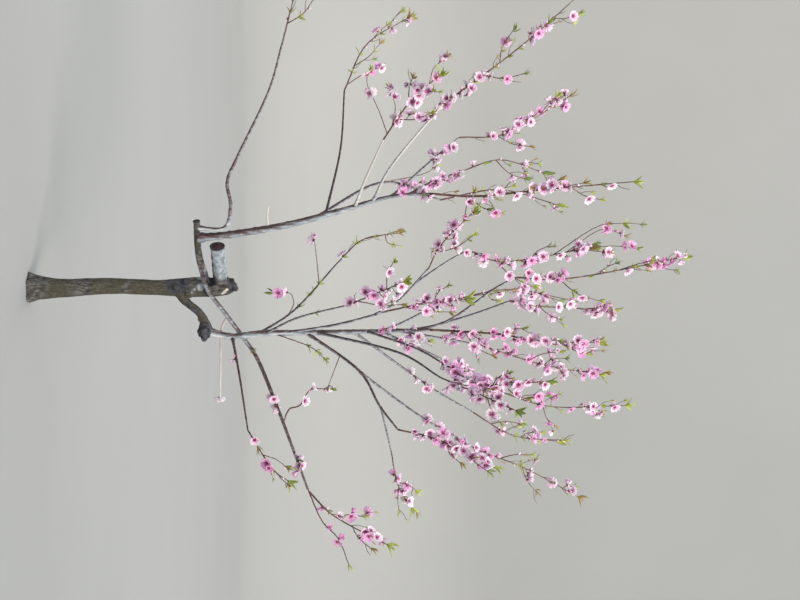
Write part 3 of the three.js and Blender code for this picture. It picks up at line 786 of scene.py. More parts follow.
def seeded(seed):
    """The source's row of numbers between 0 and 1 for a seed, one on each call."""
    state = [seed]

    def draw():
        state[0] = (state[0] * 1664525 + 1013904223) % 2 ** 32
        return state[0] / 2 ** 32
    return draw


def within(ends, part):
    """The value that lies so far between two ends."""
    return ends[0] + (ends[1] - ends[0]) * part


def leaning(way, turn, lean):
    """A direction that leans away from another, at a turn about it."""
    way = np.asarray(way)
    reference = (0, 0, 1) if abs(way[2]) < 0.9 else (1, 0, 0)
    right = np.cross(reference, way)
    right = right / np.linalg.norm(right)
    up = np.cross(way, right)
    return (way * math.cos(lean) + right * math.sin(lean) * math.cos(turn)
            + up * math.sin(lean) * math.sin(turn))


def stretches_of(line, radius_at, count):
    """A line as short straight stretches: their starts, their ends and the wood's radius on each."""
    places = line.at(np.linspace(0, 1, count + 1))
    radii = np.array([radius_at((i + 0.5) / count) for i in range(count)])
    return places[:-1], places[1:], radii


def distance_to(stretches, points):
    """How far points lie from the nearest of some stretches, less the wood's radius there."""
    starts, ends, radii = stretches
    ways = ends - starts
    part = np.einsum("psk,sk->ps", points[:, None] - starts, ways) / np.einsum("sk,sk->s", ways, ways)
    foot = starts + np.clip(part, 0, 1)[:, :, None] * ways
    return (np.linalg.norm(points[:, None] - foot, axis=2) - radii).min(axis=1)


class Shoot:
    """A stem, twig or spur: its line, its radius along it and the spray it belongs to."""
    def __init__(self, points, radii, spray, length=None):
        self.line = Line(points)
        self.radius_at = evenly(radii)
        self.spray = spray
        self.length = length or self.line.length

    def on_bark(self, share, turn, depth):
        """A place at a share of the length and a turn, out from the middle by a share of the radius."""
        out = leaning(self.line.along(share)[0], turn, math.pi / 2)
        return self.line.at(share)[0] + out * self.radius_at(share) * depth


def grow_twig(stem, share, turn, lean, reach, radii, spray):
    """A side twig that leans out of its stem and then turns up along it."""
    base, way = stem.line.at(share)[0], stem.line.along(share)[0]
    knee = base + leaning(way, turn, lean) * reach / 2
    tip = knee + leaning(way, turn, lean / 2) * reach / 2
    return Shoot([base, knee, tip], radii, spray, reach)


stems = []
for index, (name, points) in enumerate(SPRAYS):
    line, radius_at = grown[name]
    base = line.at(1)[0] + SEAT_GAP * line.along(1)[0]
    stems.append(Shoot([base, *points], (radius_at(1), STEM_TIP_RADIUS), index))

trunk_ends = (TRUNK_HEART[0][2], TRUNK_HEART[-1][2])
limb_stretches = [stretches_of(heart, lambda share: between(TRUNK_PROFILE, within(trunk_ends, share)),
                               2 * SOURCE_TRUNK_RINGS)]
for name, (line, radius_at) in grown.items():
    if name != "trunk":
        step = SOURCE_OLD_RING_STEP if radius_at(0) > OLD_LIMB else SOURCE_RING_STEP
        limb_stretches.append(stretches_of(line, radius_at, 2 * max(3, round(line.length / step))))
limb_wood = [np.concatenate(part) for part in zip(*limb_stretches)]
stem_stretches = [stretches_of(stem.line, lambda share: 0.0, STEM_STRETCHES) for stem in stems]


def in_own_space(points, spray, limb_room=LIMB_ROOM):
    """Whether points lie nearer their own spray's stem than any other, and clear of every limb."""
    own = distance_to(stem_stretches[spray], points) + SPACE_ROOM
    others = [distance_to(line, points) for i, line in enumerate(stem_stretches) if i != spray]
    return bool(np.all(distance_to(limb_wood, points) > limb_room) and np.all(np.min(others, axis=0) > own))


twigs = []
cups = []
tufts = []
for index, stem in enumerate(stems):
    draw = seeded(SPRAY_SEED + index)
    count = min(MOST_TWIGS, round(stem.length / TWIG_SPACING))
    turn = draw() * 2 * math.pi
    own_twigs = []
    for i in range(count):
        share = within(TWIG_SHARES, (i + draw()) / count)
        lean = within(TWIG_LEANS, draw())
        reach = TWIG_REACH * (1 - TWIG_REACH_LOST * share) * within(TWIG_REACH_SHARES, draw())
        turn += GOLDEN_TURN
        twig = grow_twig(stem, share, turn, lean, reach, TWIG_RADII, index)
        if in_own_space(twig.line.at(np.linspace(0, 1, TWIG_CHECKS + 1)[1:]), index):
            own_twigs.append(twig)
    blossoms = round(stem.length / BLOSSOM_SPACING)
    for i in range(blossoms):
        share = within(BLOSSOM_SHARES, (i + draw()) / blossoms)
        cups.append((stem, share, draw() * 2 * math.pi, within(BLOSSOM_LEANS, draw())))
        draw()
    for twig in own_twigs:
        share = within(TWIG_BLOSSOM_SHARES, draw())
        cups.append((twig, share, draw() * 2 * math.pi, within(BLOSSOM_LEANS, draw())))
        draw()
        tufts.append((twig, draw() * 2 * math.pi))
    tufts.append((stem, draw() * 2 * math.pi))
    twigs += own_twigs

# Thin shoots that the picture shows one by one: the limb each grows from, how far along it (over 1 on its
# stem), the points it bends through, its radius at the base, and where flowers open on it: from where, to
# where and how many.
SINGLE_SHOOTS = [
    ("left_leader", 1.27, [(-300, -142, 1668), (-270, -150, 1683)], 1.6, (0.9, 1, 2)),
    ("bough_left_2", 1.06, [(-818, 400, 1212), (-852, 405, 1288)], 2, (0.6, 1, 5)),
    ("bough_left_3", 1.08, [(-600, -430, 1262), (-690, -440, 1222), (-735, -445, 1231)], 1.8, (0.6, 1, 3)),
    ("bough_left_3", 1.18, [(-615, -425, 1318), (-675, -450, 1296)], 1.8, (0.6, 1, 3)),
    ("bough_left_3", 1.85, [(-720, -650, 1440), (-754, -660, 1483)], 1.6, (0.6, 1, 3)),
    ("bough_left_7", 0.5, [(-432, 330, 1440), (-470, 380, 1500)], 2.2, (0.9, 1, 1)),
    ("bough_middle_1", 0.3, [(62, 70, 958), (22, 62, 944), (20, 58, 880)], 2, (0.5, 1, 4)),
    ("bough_middle_1", 0.72, [(-110, 250, 1040), (-189, 290, 1030)], 2, (0.9, 1, 2)),
    ("bough_middle_5", 1.93, [(-128, -150, 2040), (-122, -150, 2092)], 1.6, (0.6, 1, 6)),
    ("bough_middle_5", 1.8, [(-204, -150, 2060), (-184, -150, 2146)], 1.8, (0.6, 1, 3)),
    ("bough_middle_5", 1.97, [(-146, -150, 2105), (-138, -150, 2185)], 1.8, (0.6, 1, 4)),
    ("bough_middle_5", 1.7, [(-212, -170, 2040), (-226, -175, 2130), (-222, -178, 2215)], 1.8, None),
    ("bough_middle_6", 0.5, [(165, 380, 1420), (205, 420, 1475)], 2.2, (0.9, 1, 1)),
    ("right_leader", 0.3, [(215, -70, 1020), (262, -95, 1078)], 2.2, None),
    ("bough_right_1", 0.72, [(442, -45, 945), (425, -60, 986), (371, -75, 1022), (367, -80, 1092)], 3,
     (0.4, 1, 5)),
    ("bough_right_1", 0.985, [(837, -95, 1063), (902, -120, 1124), (990, -135, 1160)], 2.8, (0.45, 0.75, 4)),
    ("bough_right_3", 0.3, [(290, -60, 1112), (361, -66, 1085)], 2, (0.9, 1, 1)),
    ("bough_right_7", 1.42, [(690, 560, 1850), (672, 566, 1899)], 1.6, (0.9, 1, 1)),
    ("bough_right_8", 1.42, [(555, 535, 1790), (537, 540, 1829)], 1.6, (0.9, 1, 2)),
    ("bough_right_9", 1.42, [(445, 690, 1960), (427, 700, 2000)], 1.6, (0.6, 1, 3)),
]
# Old thin shoots with no sap left, bleached to cream.
PALE_SHOOTS = [
    ("left_leader", 0.3, [(-262, -80, 868), (-291, -92, 874)], 3.8, None),
    ("bough_right_1", 0.24, [(160, 8, 697), (290, 18, 694), (411, 26, 692)], 4.4, (0.9, 1, 1)),
]
# A single shoot's radius at its tip as a share of that at its base, and how its flowers are set on it.
SINGLE_TIP = 0.55
SINGLE_PARTS = (0.3, 0.9)
SINGLE_BUNCH = 2
# Growth finer than the solids': one fine shoot to so many millimetres of wood, its reach and its radii.
FINE_SPACING = 120
FINE_REACH = (24, 62)
FINE_RADII = (1.3, 0.7)
FINE_LEANS = (0.5, 0.95)
FINE_PARTS = (0.25, 1)
FINE_LAST = 0.93
FINE_CHECKS = 4
# Short knobbly spurs that carry the blossom, thickest at their ends.
SPUR_REACH = (8, 36)
SPUR_RADII = (1.3, 1.2, 1.7)
SPUR_LEANS = (0.6, 1.2)
SPUR_CHECKS = (0.6, 1)
SPUR_FLOWER_SHARES = (0.7, 1)
# Where flowers open: stretches of a limb, or over 1 of its stem, with the flowers on each.
BLOOM = {
    "left_leader": ((0.84, 1.0, 6), (1.24, 1.36, 4), (1.38, 1.5, 5), (1.54, 1.7, 7)),
    "bough_left_1": ((1.78, 1.98, 3),),
    "bough_left_2": ((1.9, 2.0, 2),),
    "bough_left_3": ((1.42, 1.62, 2), (1.68, 1.96, 4)),
    "bough_left_4": ((0.76, 1.0, 11), (1.0, 1.26, 11), (1.54, 1.66, 4)),
    "bough_left_5": ((0.02, 0.26, 3), (0.62, 0.9, 17), (1.32, 1.6, 16), (1.82, 1.98, 6)),
    "bough_left_6": ((0.02, 0.44, 8), (0.46, 0.9, 11), (1.62, 1.82, 2)),
    "bough_left_7": ((0.62, 0.84, 9), (1.9, 2.0, 1)),
    "bough_middle_2": ((1.3, 1.98, 10),),
    "bough_middle_3": ((1.42, 1.92, 10),),
    "bough_middle_4": ((1.14, 1.96, 13),),
    "bough_middle_5": ((0.84, 1.0, 1), (1.0, 1.58, 19), (1.7, 1.98, 9)),
    "bough_middle_6": ((0.4, 0.56, 3), (0.86, 1.0, 5), (1.0, 1.12, 4), (1.58, 1.8, 15)),
    "bough_middle_7": ((1.0, 1.1, 2), (1.1, 1.26, 11), (1.72, 2.0, 16)),
    "bough_middle_8": ((0.94, 1.08, 5), (1.1, 1.34, 9), (1.78, 2.0, 14)),
    "right_leader": ((0.74, 0.94, 5), (1.04, 1.34, 4), (1.4, 1.64, 11), (1.68, 1.96, 17)),
    "bough_right_1": ((0.58, 0.68, 4), (0.85, 0.9, 4), (1.34, 1.44, 1), (1.66, 1.92, 6)),
    "bough_right_2": ((0.2, 0.26, 1), (1.04, 1.16, 1), (1.46, 1.7, 2)),
    "bough_right_3": ((1.2, 1.5, 9), (1.52, 1.95, 18)),
    "bough_right_4": ((1.24, 1.9, 9),),
    "bough_right_5": ((1.12, 1.76, 18),),
    "bough_right_6": ((0.3, 0.54, 3), (0.88, 1.0, 2), (1.02, 1.52, 20), (1.62, 1.94, 8)),
    "bough_right_7": ((0.46, 0.7, 7), (0.74, 1.0, 10), (1.0, 1.14, 3), (1.4, 1.66, 3), (1.86, 1.97, 3)),
    "bough_right_8": ((0.44, 0.64, 6), (1.05, 1.9, 6)),
    "bough_right_9": ((0.08, 0.32, 4), (0.6, 1.0, 30), (1.0, 1.1, 7), (1.32, 1.44, 3), (1.66, 1.78, 1)),
    "bough_right_10": ((0.02, 0.16, 2), (0.38, 0.62, 4), (0.74, 1.0, 10), (1.0, 1.08, 3), (1.3, 1.92, 15)),
}
FLOWERS_IN_A_BUNCH = 3.6
BUNCH_PARTS = (0.2, 0.8)
# The shoots' wood: its rings, the nodes along it and how far it bends to and fro from node to node.
SHOOT_STEP = 6
SHOOT_SIDES = 6
SHOOT_NODE_STEP = 19
SHOOT_NODE_START = (0.2, 0.8)
SHOOT_NODE_SWELL = 0.2
SHOOT_NODE_LENGTH = 2.2
SHOOT_ZIGZAG = 0.55
# Corners of the shoots' wood that lie nearer together than this are made one.
SAME_CORNER = 0.01
STEM_SEED = 51
FINE_SEED = 52
PALE_SEED = 53
GROWING_SEED = 4100
LIMB_PARTS = 8

growing = np.random.default_rng(GROWING_SEED)
marks = np.arange(LIMB_PARTS + 1) / LIMB_PARTS
limb_shoots = {name: Shoot(line.at(marks), [radius_at(mark) for mark in marks], None)
               for name, (line, radius_at) in grown.items() if radius_at}
stem_of = {name: stem for (name, _), stem in zip(SPRAYS, stems)}


def on_limb(name, share):
    """A limb, or past 1 the stem that goes on from it, and the share along that."""
    return (limb_shoots[name], share) if share < 1 else (stem_of[name], share - 1)


def single_shoots(rows):
    """The shoots of a table, each with the stretch that flowers on it, or None."""
    made = []
    for name, share, points, radius, stretch in rows:
        wood, there = on_limb(name, share)
        made.append((Shoot([wood.line.at(there)[0], *points], (radius, SINGLE_TIP * radius), None), stretch))
    return made


singles = single_shoots(SINGLE_SHOOTS)
pale_singles = single_shoots(PALE_SHOOTS)
fine_shoots = []
for wood in stems + twigs:
    for i in range(round(wood.length / FINE_SPACING)):
        share = min(FINE_LAST, (i + growing.uniform(*FINE_PARTS)) / (wood.length / FINE_SPACING))
        reach = growing.uniform(*FINE_REACH)
        turn = growing.uniform(0, 2 * math.pi)
        shoot = grow_twig(wood, share, turn, growing.uniform(*FINE_LEANS), reach, FINE_RADII, wood.spray)
        if in_own_space(shoot.line.at(np.linspace(0, 1, FINE_CHECKS + 1)[1:]), wood.spray):
            fine_shoots.append(shoot)

# Bunches of flowers on the picture's stretches, half on the wood and half on a spur: the wood, the share
# along it and the number of flowers.
flower_places = []
spurs = []
for name, stretches in BLOOM.items():
    for first, last, count in stretches:
        bunches = math.ceil(count / FLOWERS_IN_A_BUNCH)
        for i in range(bunches):
            part = i + growing.uniform(*BUNCH_PARTS)
            wood, share = on_limb(name, first + (last - first) * part / bunches)
            here = round(count * (i + 1) / bunches) - round(count * i / bunches)
            reach = wood.radius_at(share) + growing.uniform(*SPUR_REACH)
            turn = growing.uniform(0, 2 * math.pi)
            spur = grow_twig(wood, share, turn, growing.uniform(*SPUR_LEANS), reach, SPUR_RADII, wood.spray)
            if wood.spray is None or in_own_space(spur.line.at(SPUR_CHECKS), wood.spray):
                spurs.append(spur)
                flower_places.append((spur, growing.uniform(*SPUR_FLOWER_SHARES), here - here // 2))
                here //= 2
            flower_places.append((wood, share, here))
for shoot, stretch in singles + pale_singles:
    if stretch:
        first, last, count = stretch
        bunches = math.ceil(count / SINGLE_BUNCH)
        for i in range(bunches):
            share = first + (last - first) * (i + growing.uniform(*SINGLE_PARTS)) / bunches
            flower_places.append((shoot, share, min(SINGLE_BUNCH, count - SINGLE_BUNCH * i)))


def draw_shoots(name, shoots, seed):
    """Shoots as one mesh: round curves through their nodes, bent a little at each, made solid and closed."""
    draw = np.random.default_rng(seed)
    curves = bpy.data.curves.new(name, "CURVE")
    curves.dimensions = "3D"
    curves.fill_mode = "FULL"
    curves.bevel_depth = 1.0
    curves.bevel_resolution = (SHOOT_SIDES - 4) // 2
    curves.use_fill_caps = True
    curves.twist_mode = "MINIMUM"
    for shoot in shoots:
        rings = max(3, round(shoot.line.length / SHOOT_STEP)) + 1
        shares = np.linspace(0, 1, rings)
        first_node = draw.uniform(*SHOOT_NODE_START) * SHOOT_NODE_STEP
        nodes = np.arange(first_node, shoot.line.length, SHOOT_NODE_STEP)
        gaps = (shares * shoot.line.length)[:, None] - nodes
        swell = SHOOT_NODE_SWELL * np.exp(-(gaps / SHOOT_NODE_LENGTH) ** 2).sum(axis=1)
        radii = np.array([shoot.radius_at(share) for share in shares]) * (1 + swell)
        swing = SHOOT_ZIGZAG * np.sin(math.pi * shares * shoot.line.length / SHOOT_NODE_STEP)
        swing *= np.sin(math.pi * shares) ** 0.5
        side = leaning(shoot.line.along(0.5)[0], draw.uniform(0, 2 * math.pi), math.pi / 2)
        places = (shoot.line.at(shares) + swing[:, None] * side) * MM
        spline = curves.splines.new("POLY")
        spline.points.add(rings - 1)
        spline.points.foreach_set("co", np.hstack([places, np.ones((rings, 1))]).ravel())
        spline.points.foreach_set("radius", radii * MM)
    shape = bpy.data.objects.new(name, curves)
    bpy.context.scene.collection.objects.link(shape)
    choose(shape)
    bpy.ops.object.convert(target="MESH")
    wood = bpy.context.object
    wood.name = wood.data.name = name
    bpy.ops.object.mode_set(mode="EDIT")
    bpy.ops.mesh.select_all(action="SELECT")
    bpy.ops.mesh.remove_doubles(threshold=SAME_CORNER * MM)
    bpy.ops.object.mode_set(mode="OBJECT")
    smooth(wood)
    return wood


def shoot_bark(name, shades):
    """The skin of last summer's almond shoots, thin and shiny: dark red that fades to tan in patches, with
    small pale pores. A shoot that has dried out is cream."""
    bark, surface = new_material(name, Roughness=0.45, Specular_IOR_Level=0.5)
    place = add_node(bark, "TexCoord")["Object"]
    blush = add_node(bark, "TexNoise", {"Vector": place, "Scale": grains(55 * MM), "Detail": 3.0})["Fac"]
    tone = add_node(bark, "ValToRGB", {"Fac": blush}, zip((0.32, 0.7, 0.5, 0.6), shades))["Color"]
    pores = add_node(bark, "TexNoise", {"Vector": place, "Scale": grains(1.4 * MM), "Detail": 1.0})["Fac"]
    pore_edge = add_node(bark, "MapRange", {"Value": pores, "From Min": 0.64, "From Max": 0.7,
                                            "To Max": 0.5})["Result"]
    dotted = add_node(bark, "Mix", {0: pore_edge, 6: tone, 7: colour("#c9bda4")}, data_type="RGBA")[2]
    bump = add_node(bark, "Bump", {"Height": pores, "Strength": 0.3, "Distance": 0.0005})["Normal"]
    link(bark, surface, Base_Color=dotted, Normal=bump)
    return bark


def finish_kind(piece, material):
    """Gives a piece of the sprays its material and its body."""
    piece.data.materials.append(material)
    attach(piece, "root")


single_woods = [shoot for shoot, _ in singles]
shoot_skin = shoot_bark("red_almond_shoot_skin", ("#4a2624", "#8f7f70", "#633f3a", "#775c50"))
spray_nodes = ["spray_" + name.replace("bough_", "") for name, _ in SPRAYS]
shoot_wood = draw_shoots("stems_and_twigs", stems + twigs, STEM_SEED)
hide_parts(*spray_nodes)
fine_wood = draw_shoots("fine_shoots_and_spurs", single_woods + fine_shoots + spurs, FINE_SEED)
pale_wood = draw_shoots("bleached_shoots", [shoot for shoot, _ in pale_singles], PALE_SEED)
pale_skin = shoot_bark("bleached_almond_shoot", ("#c3bdb0", "#f2eee6", "#dad5ca", "#e6e1d8"))
for wood, skin in ((shoot_wood, shoot_skin), (fine_wood, shoot_skin), (pale_wood, pale_skin)):
    finish_kind(wood, skin)


# Blossom: single almond flowers, open before the leaves, alone or in twos and threes at a bud, almost
# without a stalk. Each has a dark red cup, five thin pink petals that deepen to magenta at the foot, and
# crimson stamens.
PETALS = 5
# A petal's rows from foot to tip, in millimetres: how far along, half the width, and the lift.
PETAL_ROWS = [(0, 1.4, 0), (4.5, 5.6, 0.2), (9, 8.8, 0.9), (13.5, 9.8, 2.0), (17, 7.4, 3.2)]
PETAL_COLUMNS = 4
PETAL_CUP = 1.5
PETAL_NOTCH = 1.5
PETAL_THICKNESS = 0.5
# The deeper foot of a petal and the stain within it lie on it as two thinner blades.
BLUSH_ROWS = [(0.1, 1.3, 0.38), (4.2, 4.4, 0.5), (8.4, 3.6, 1.05)]
STAIN_ROWS = [(0.2, 1.2, 0.6), (2.6, 2.5, 0.75), (5.2, 0.9, 1.05)]
FOOT_COLUMNS = 2
BLUSH_CUP = 0.5
STAIN_CUP = 0.2
CUP_HEIGHT = 6.0
CUP_RADII = (1.5, 3.4)
# The cup's rim opens between the petals by so much, and the petals sit on it a little below its edge.
SEPAL_SPREAD = 1.5
PETAL_SEAT = 2.3
PETAL_SEAT_HEIGHT = 0.95
# How far petals stray: in tilt in degrees, in turn and roll in radians, and in size.
TILT_STRAY = 7
TURN_STRAY = 0.09
ROLL_STRAY = 0.14
PETAL_SIZES = (0.92, 1.06)
STAMENS = 10
STAMEN_LENGTH = 9.5
STAMEN_LEANS = (0.16, 0.66)
STAMEN_REACHES = (0.75, 1)
STAMEN_FOOT = 0.85
LEAN_STEP = 0.618
REACH_STEP = 0.37
# Radii of a stamen's thread at its foot and tip, and of the ripe head on it, with the head's length.
FILAMENT_RADII = (0.34, 0.22)
ANTHER_RADII = (0.85, 0.4)
ANTHER_LENGTH = 1.7
# How steeply petals stand above flat in a flower that is wide open, opening, or nearly shut, and the states
# that are drawn from.
OPENNESS = {"open": (3, 21), "opening": (34, 50), "nearly_shut": (60, 72)}
STATES = ["open"] * 4 + ["opening", "nearly_shut"]
PETAL_TONES = {
    "pale": ("#fbdff2", "#feecf8"),
    "rose": ("#f9cbea", "#fcdcf3"),
    "deep": ("#f1a5d9", "#f7bee5"),
}
TONE_CHANCES = (0.2, 0.48, 0.32)
OPENING_SEED = 77
# A flower's middle is so high over its seat, keeps so far from others and from limbs, and its cup sits so
# deep in the bark, as a share of the wood's radius.
FLOWER_HEIGHT = 12
FLOWER_ROOM = 18
FLOWER_LIMB_ROOM = 8
FLOWER_SEAT = 0.6
FLOWER_SIZES = (1.05, 1.2)
# The flowers of a bunch stand within this reach of its middle, and lean by so much more or less.
BUNCH_REACH = 13
BUNCH_STRAY = 0.15
FIRST_SHARE = 0.02
# A bud beside the flowers: how often, how far off along the wood, how far round it and how it leans.
BUD_CHANCE = 0.6
BUD_REACH = 22
BUD_TURN = 2
BUD_LEANS = (0.8, 1.4)
PLACE_LEANS = (0.5, 1.4)
# How often a cup of a late spray has opened, and how often a fine shoot flowers, where and how it leans.
LATE_CHANCE = 0.35
FINE_CHANCE = 0.4
FINE_FLOWER_SHARES = (0.4, 0.9)
FINE_FLOWER_LEAN = 1.2
# How far each flower turns to the light, which comes from the front of the tree.
LIGHT_SIDE = np.array((0.1, -0.4, 0.12))
# Sprays that the picture shows with hardly a flower open: their cups carry more buds than flowers.
LATE_SPRAYS = ("left_leader", "bough_left_1", "bough_left_2", "bough_left_4", "bough_left_6", "bough_left_7",
               "bough_middle_1", "bough_middle_6", "bough_middle_7", "bough_right_2", "bough_right_4",
               "bough_right_7", "bough_right_8")


def pick(piece, chosen):
    """Selects the corners of a mesh whose numbers are chosen, and nothing else."""
    for kind in (piece.data.polygons, piece.data.edges):
        kind.foreach_set("select", [False] * len(kind))
    piece.data.vertices.foreach_set("select", [index in chosen for index in range(len(piece.data.vertices))])


def pull(piece, chosen, shift, widen=(1, 1, 1), middle=(0, 0, 0)):
    """Widens the chosen corners of a mesh about a middle, and then shifts them."""
    pick(piece, chosen)
    bpy.ops.object.mode_set(mode="EDIT")
    bpy.ops.transform.resize(value=widen, center_override=middle)
    bpy.ops.transform.translate(value=shift)
    bpy.ops.object.mode_set(mode="OBJECT")


def draw_blade(name, rows, columns, edge_lift, notch, thickness):
    """A thin blade: a grid drawn row by row to its outline, its edges lifted, and given its thickness."""
    bpy.ops.object.select_all(action="DESELECT")
    bpy.ops.mesh.primitive_grid_add(x_subdivisions=columns, y_subdivisions=len(rows) - 1, size=2)
    blade = bpy.context.object
    blade.name = name
    corners = corners_of(blade)
    heights = np.unique(corners[:, 1].round(5))
    widest = max(half_width for _, half_width, _ in rows)
    for height, (along, half_width, lift) in zip(heights, rows):
        row = np.flatnonzero(abs(corners[:, 1] - height) < 1e-4)
        row = row[np.argsort(corners[row, 0])]
        pull(blade, row, (0, along * MM - height, lift * MM), (half_width * MM, 1, 1))
        pull(blade, (row[0], row[-1]), (0, 0, edge_lift * MM * half_width / widest))
    pull(blade, (row[columns // 2],), (0, -notch * MM, 0))
    apply_modifier(blade, "SOLIDIFY", thickness=thickness * MM, offset=0)
    return blade


def joined_copies(name, shape, places):
    """One mesh of a shape's copies, one at each place, given as 4 by 4 matrices."""
    corners = corners_of(shape)
    places = np.array([np.array(place) for place in places])
    moved = np.einsum("pij,nj->pni", places[:, :3, :3], corners) + places[:, None, :3, 3]
    faces = [tuple(face.vertices) for face in shape.data.polygons]
    mesh = bpy.data.meshes.new(name)
    copied = [tuple(i + copy * len(corners) for i in face) for copy in range(len(places)) for face in faces]
    mesh.from_pydata(moved.reshape(-1, 3).tolist(), [], copied)
    mesh.polygons.foreach_set("use_smooth", [True] * len(mesh.polygons))
    piece = bpy.data.objects.new(name, mesh)
    bpy.context.scene.collection.objects.link(piece)
    return piece


def standing(place, direction, turn):
    """The matrix that stands a shape's +Z along a direction at a place in millimetres."""
    frame_at = Vector(direction).to_track_quat("Z", "Y").to_matrix().to_4x4()
    return Matrix.Translation(Vector(place) * MM) @ frame_at @ Matrix.Rotation(turn, 4, "Z")


flowers = []
buds = []
flower_middles = []
opening = np.random.default_rng(OPENING_SEED)


def flower_at(wood, share, turn, lean, tone):
    """Opens a flower on a shoot's bark, unless another is too near."""
    way = wood.line.along(share)[0]
    direction = leaning(way, turn, lean) + LIGHT_SIDE
    direction /= np.linalg.norm(direction)
    place = wood.on_bark(share, turn, FLOWER_SEAT)
    middle = place + direction * FLOWER_HEIGHT
    if flower_middles and np.min(np.linalg.norm(np.array(flower_middles) - middle, axis=1)) < FLOWER_ROOM:
        return
    if wood.spray is not None and not in_own_space(middle[None], wood.spray, FLOWER_LIMB_ROOM):
        return
    flower_middles.append(middle)
    state = opening.choice(STATES)
    spin = opening.uniform(0, 2 * math.pi)
    seat = standing(place, direction, spin) @ Matrix.Scale(opening.uniform(*FLOWER_SIZES), 4)
    flowers.append((seat, state, tone))


def near_share(wood, share, reach):
    """A share of the wood that is drawn within a reach of another, in millimetres."""
    return float(np.clip(share + opening.uniform(-reach, reach) / wood.length, FIRST_SHARE, 1))


def bloom_at(wood, share, turn, lean, count):
    """Opens the flowers of one bud or spur, round the wood and along it, often with a bud beside them."""
    tone = opening.choice(list(PETAL_TONES), p=TONE_CHANCES)
    for k in range(count):
        along = near_share(wood, share, BUNCH_REACH * (k > 0))
        stray = opening.uniform(-BUNCH_STRAY, BUNCH_STRAY)
        flower_at(wood, along, turn + k * GOLDEN_TURN, lean + stray, tone)
    if opening.random() < BUD_CHANCE:
        along = near_share(wood, share, BUD_REACH)
        way = leaning(wood.line.along(along)[0], turn + BUD_TURN, opening.uniform(*BUD_LEANS))
        buds.append((wood.line.at(along)[0], way))


for wood, share, turn, lean in cups:
    late = SPRAYS[wood.spray][0] in LATE_SPRAYS
    bloom_at(wood, share, turn, lean, int(opening.random() < LATE_CHANCE) if late else opening.integers(1, 3))
for wood, share, count in flower_places:
    bloom_at(wood, share, opening.uniform(0, 2 * math.pi), opening.uniform(*PLACE_LEANS), count)
for shoot in fine_shoots:
    if opening.random() < FINE_CHANCE and SPRAYS[shoot.spray][0] not in LATE_SPRAYS:
        share = opening.uniform(*FINE_FLOWER_SHARES)
        bloom_at(shoot, share, opening.uniform(0, 2 * math.pi), FINE_FLOWER_LEAN, 1)


def petal_skin(name, shades):
    """Almond petals: thin, matt and faintly velvety, almost one colour, a little paler or deeper from
    flower to flower, with fine veins that catch the light."""
    petal, surface = new_material(name, Roughness=0.6, Specular_IOR_Level=0.3, Sheen_Weight=0.35,
                                  Subsurface_Weight=0.6, Subsurface_Radius=(1.0, 0.7, 0.9),
                                  Subsurface_Scale=0.003)
    place = add_node(petal, "TexCoord")["Object"]
    drift = add_node(petal, "TexNoise", {"Vector": place, "Scale": grains(22 * MM), "Detail": 1.0})["Fac"]
    tint = add_node(petal, "ValToRGB", {"Fac": drift}, zip((0.35, 0.65), shades))["Color"]
    veins = add_node(petal, "TexNoise", {"Vector": place, "Scale": grains(1.1 * MM), "Detail": 2.0})["Fac"]
    bump = add_node(petal, "Bump", {"Height": veins, "Strength": 0.15, "Distance": 0.0003})["Normal"]
    link(petal, surface, Base_Color=tint, Normal=bump)
    return petal


def mottled_skin(name, shades, patch, roughness):
    """A thin living skin, as on a leaf, a bud or a cup: mottled between two close colours, in patches of so
    many millimetres."""
    skin, surface = new_material(name, Roughness=roughness, Specular_IOR_Level=0.4)
    place = add_node(skin, "TexCoord")["Object"]
    patches = add_node(skin, "TexNoise", {"Vector": place, "Scale": grains(patch * MM), "Detail": 2.0})["Fac"]
    tint = add_node(skin, "ValToRGB", {"Fac": patches}, zip((0.36, 0.64), shades))["Color"]
    bump = add_node(skin, "Bump", {"Height": patches, "Strength": 0.2, "Distance": 0.0004})["Normal"]
    link(skin, surface, Base_Color=tint, Normal=bump)
    return skin


petal_shape = draw_blade("petal_shape", PETAL_ROWS, PETAL_COLUMNS, PETAL_CUP, PETAL_NOTCH, PETAL_THICKNESS)
blush_shape = draw_blade("blush_shape", BLUSH_ROWS, FOOT_COLUMNS, BLUSH_CUP, 0, PETAL_THICKNESS / 2)
stain_shape = draw_blade("stain_shape", STAIN_ROWS, FOOT_COLUMNS, STAIN_CUP, 0, PETAL_THICKNESS / 2)

bpy.ops.object.select_all(action="DESELECT")
bpy.ops.mesh.primitive_cone_add(vertices=2 * PETALS, radius1=CUP_RADII[0] * MM, radius2=CUP_RADII[1] * MM,
                                depth=CUP_HEIGHT * MM, location=(0, 0, CUP_HEIGHT * MM / 2))
cup_shape = bpy.context.object
bpy.ops.object.transform_apply()
sepals = [corner.index for corner in cup_shape.data.vertices if corner.co.z > CUP_HEIGHT * MM / 2
          and math.cos(PETALS * (math.atan2(corner.co.y, corner.co.x) - math.pi / 2)) < 0]
pull(cup_shape, sepals, (0, 0, 0), (SEPAL_SPREAD, SEPAL_SPREAD, 1), (0, 0, CUP_HEIGHT * MM))


def add_cone(sides, radii, length, place):
    """A small cone, its radii and length in millimetres, moved from the origin to a place."""
    bpy.ops.mesh.primitive_cone_add(vertices=sides, radius1=radii[0] * MM, radius2=radii[1] * MM,
                                    depth=length * MM)
    bpy.context.object.data.transform(place)
    return bpy.context.object


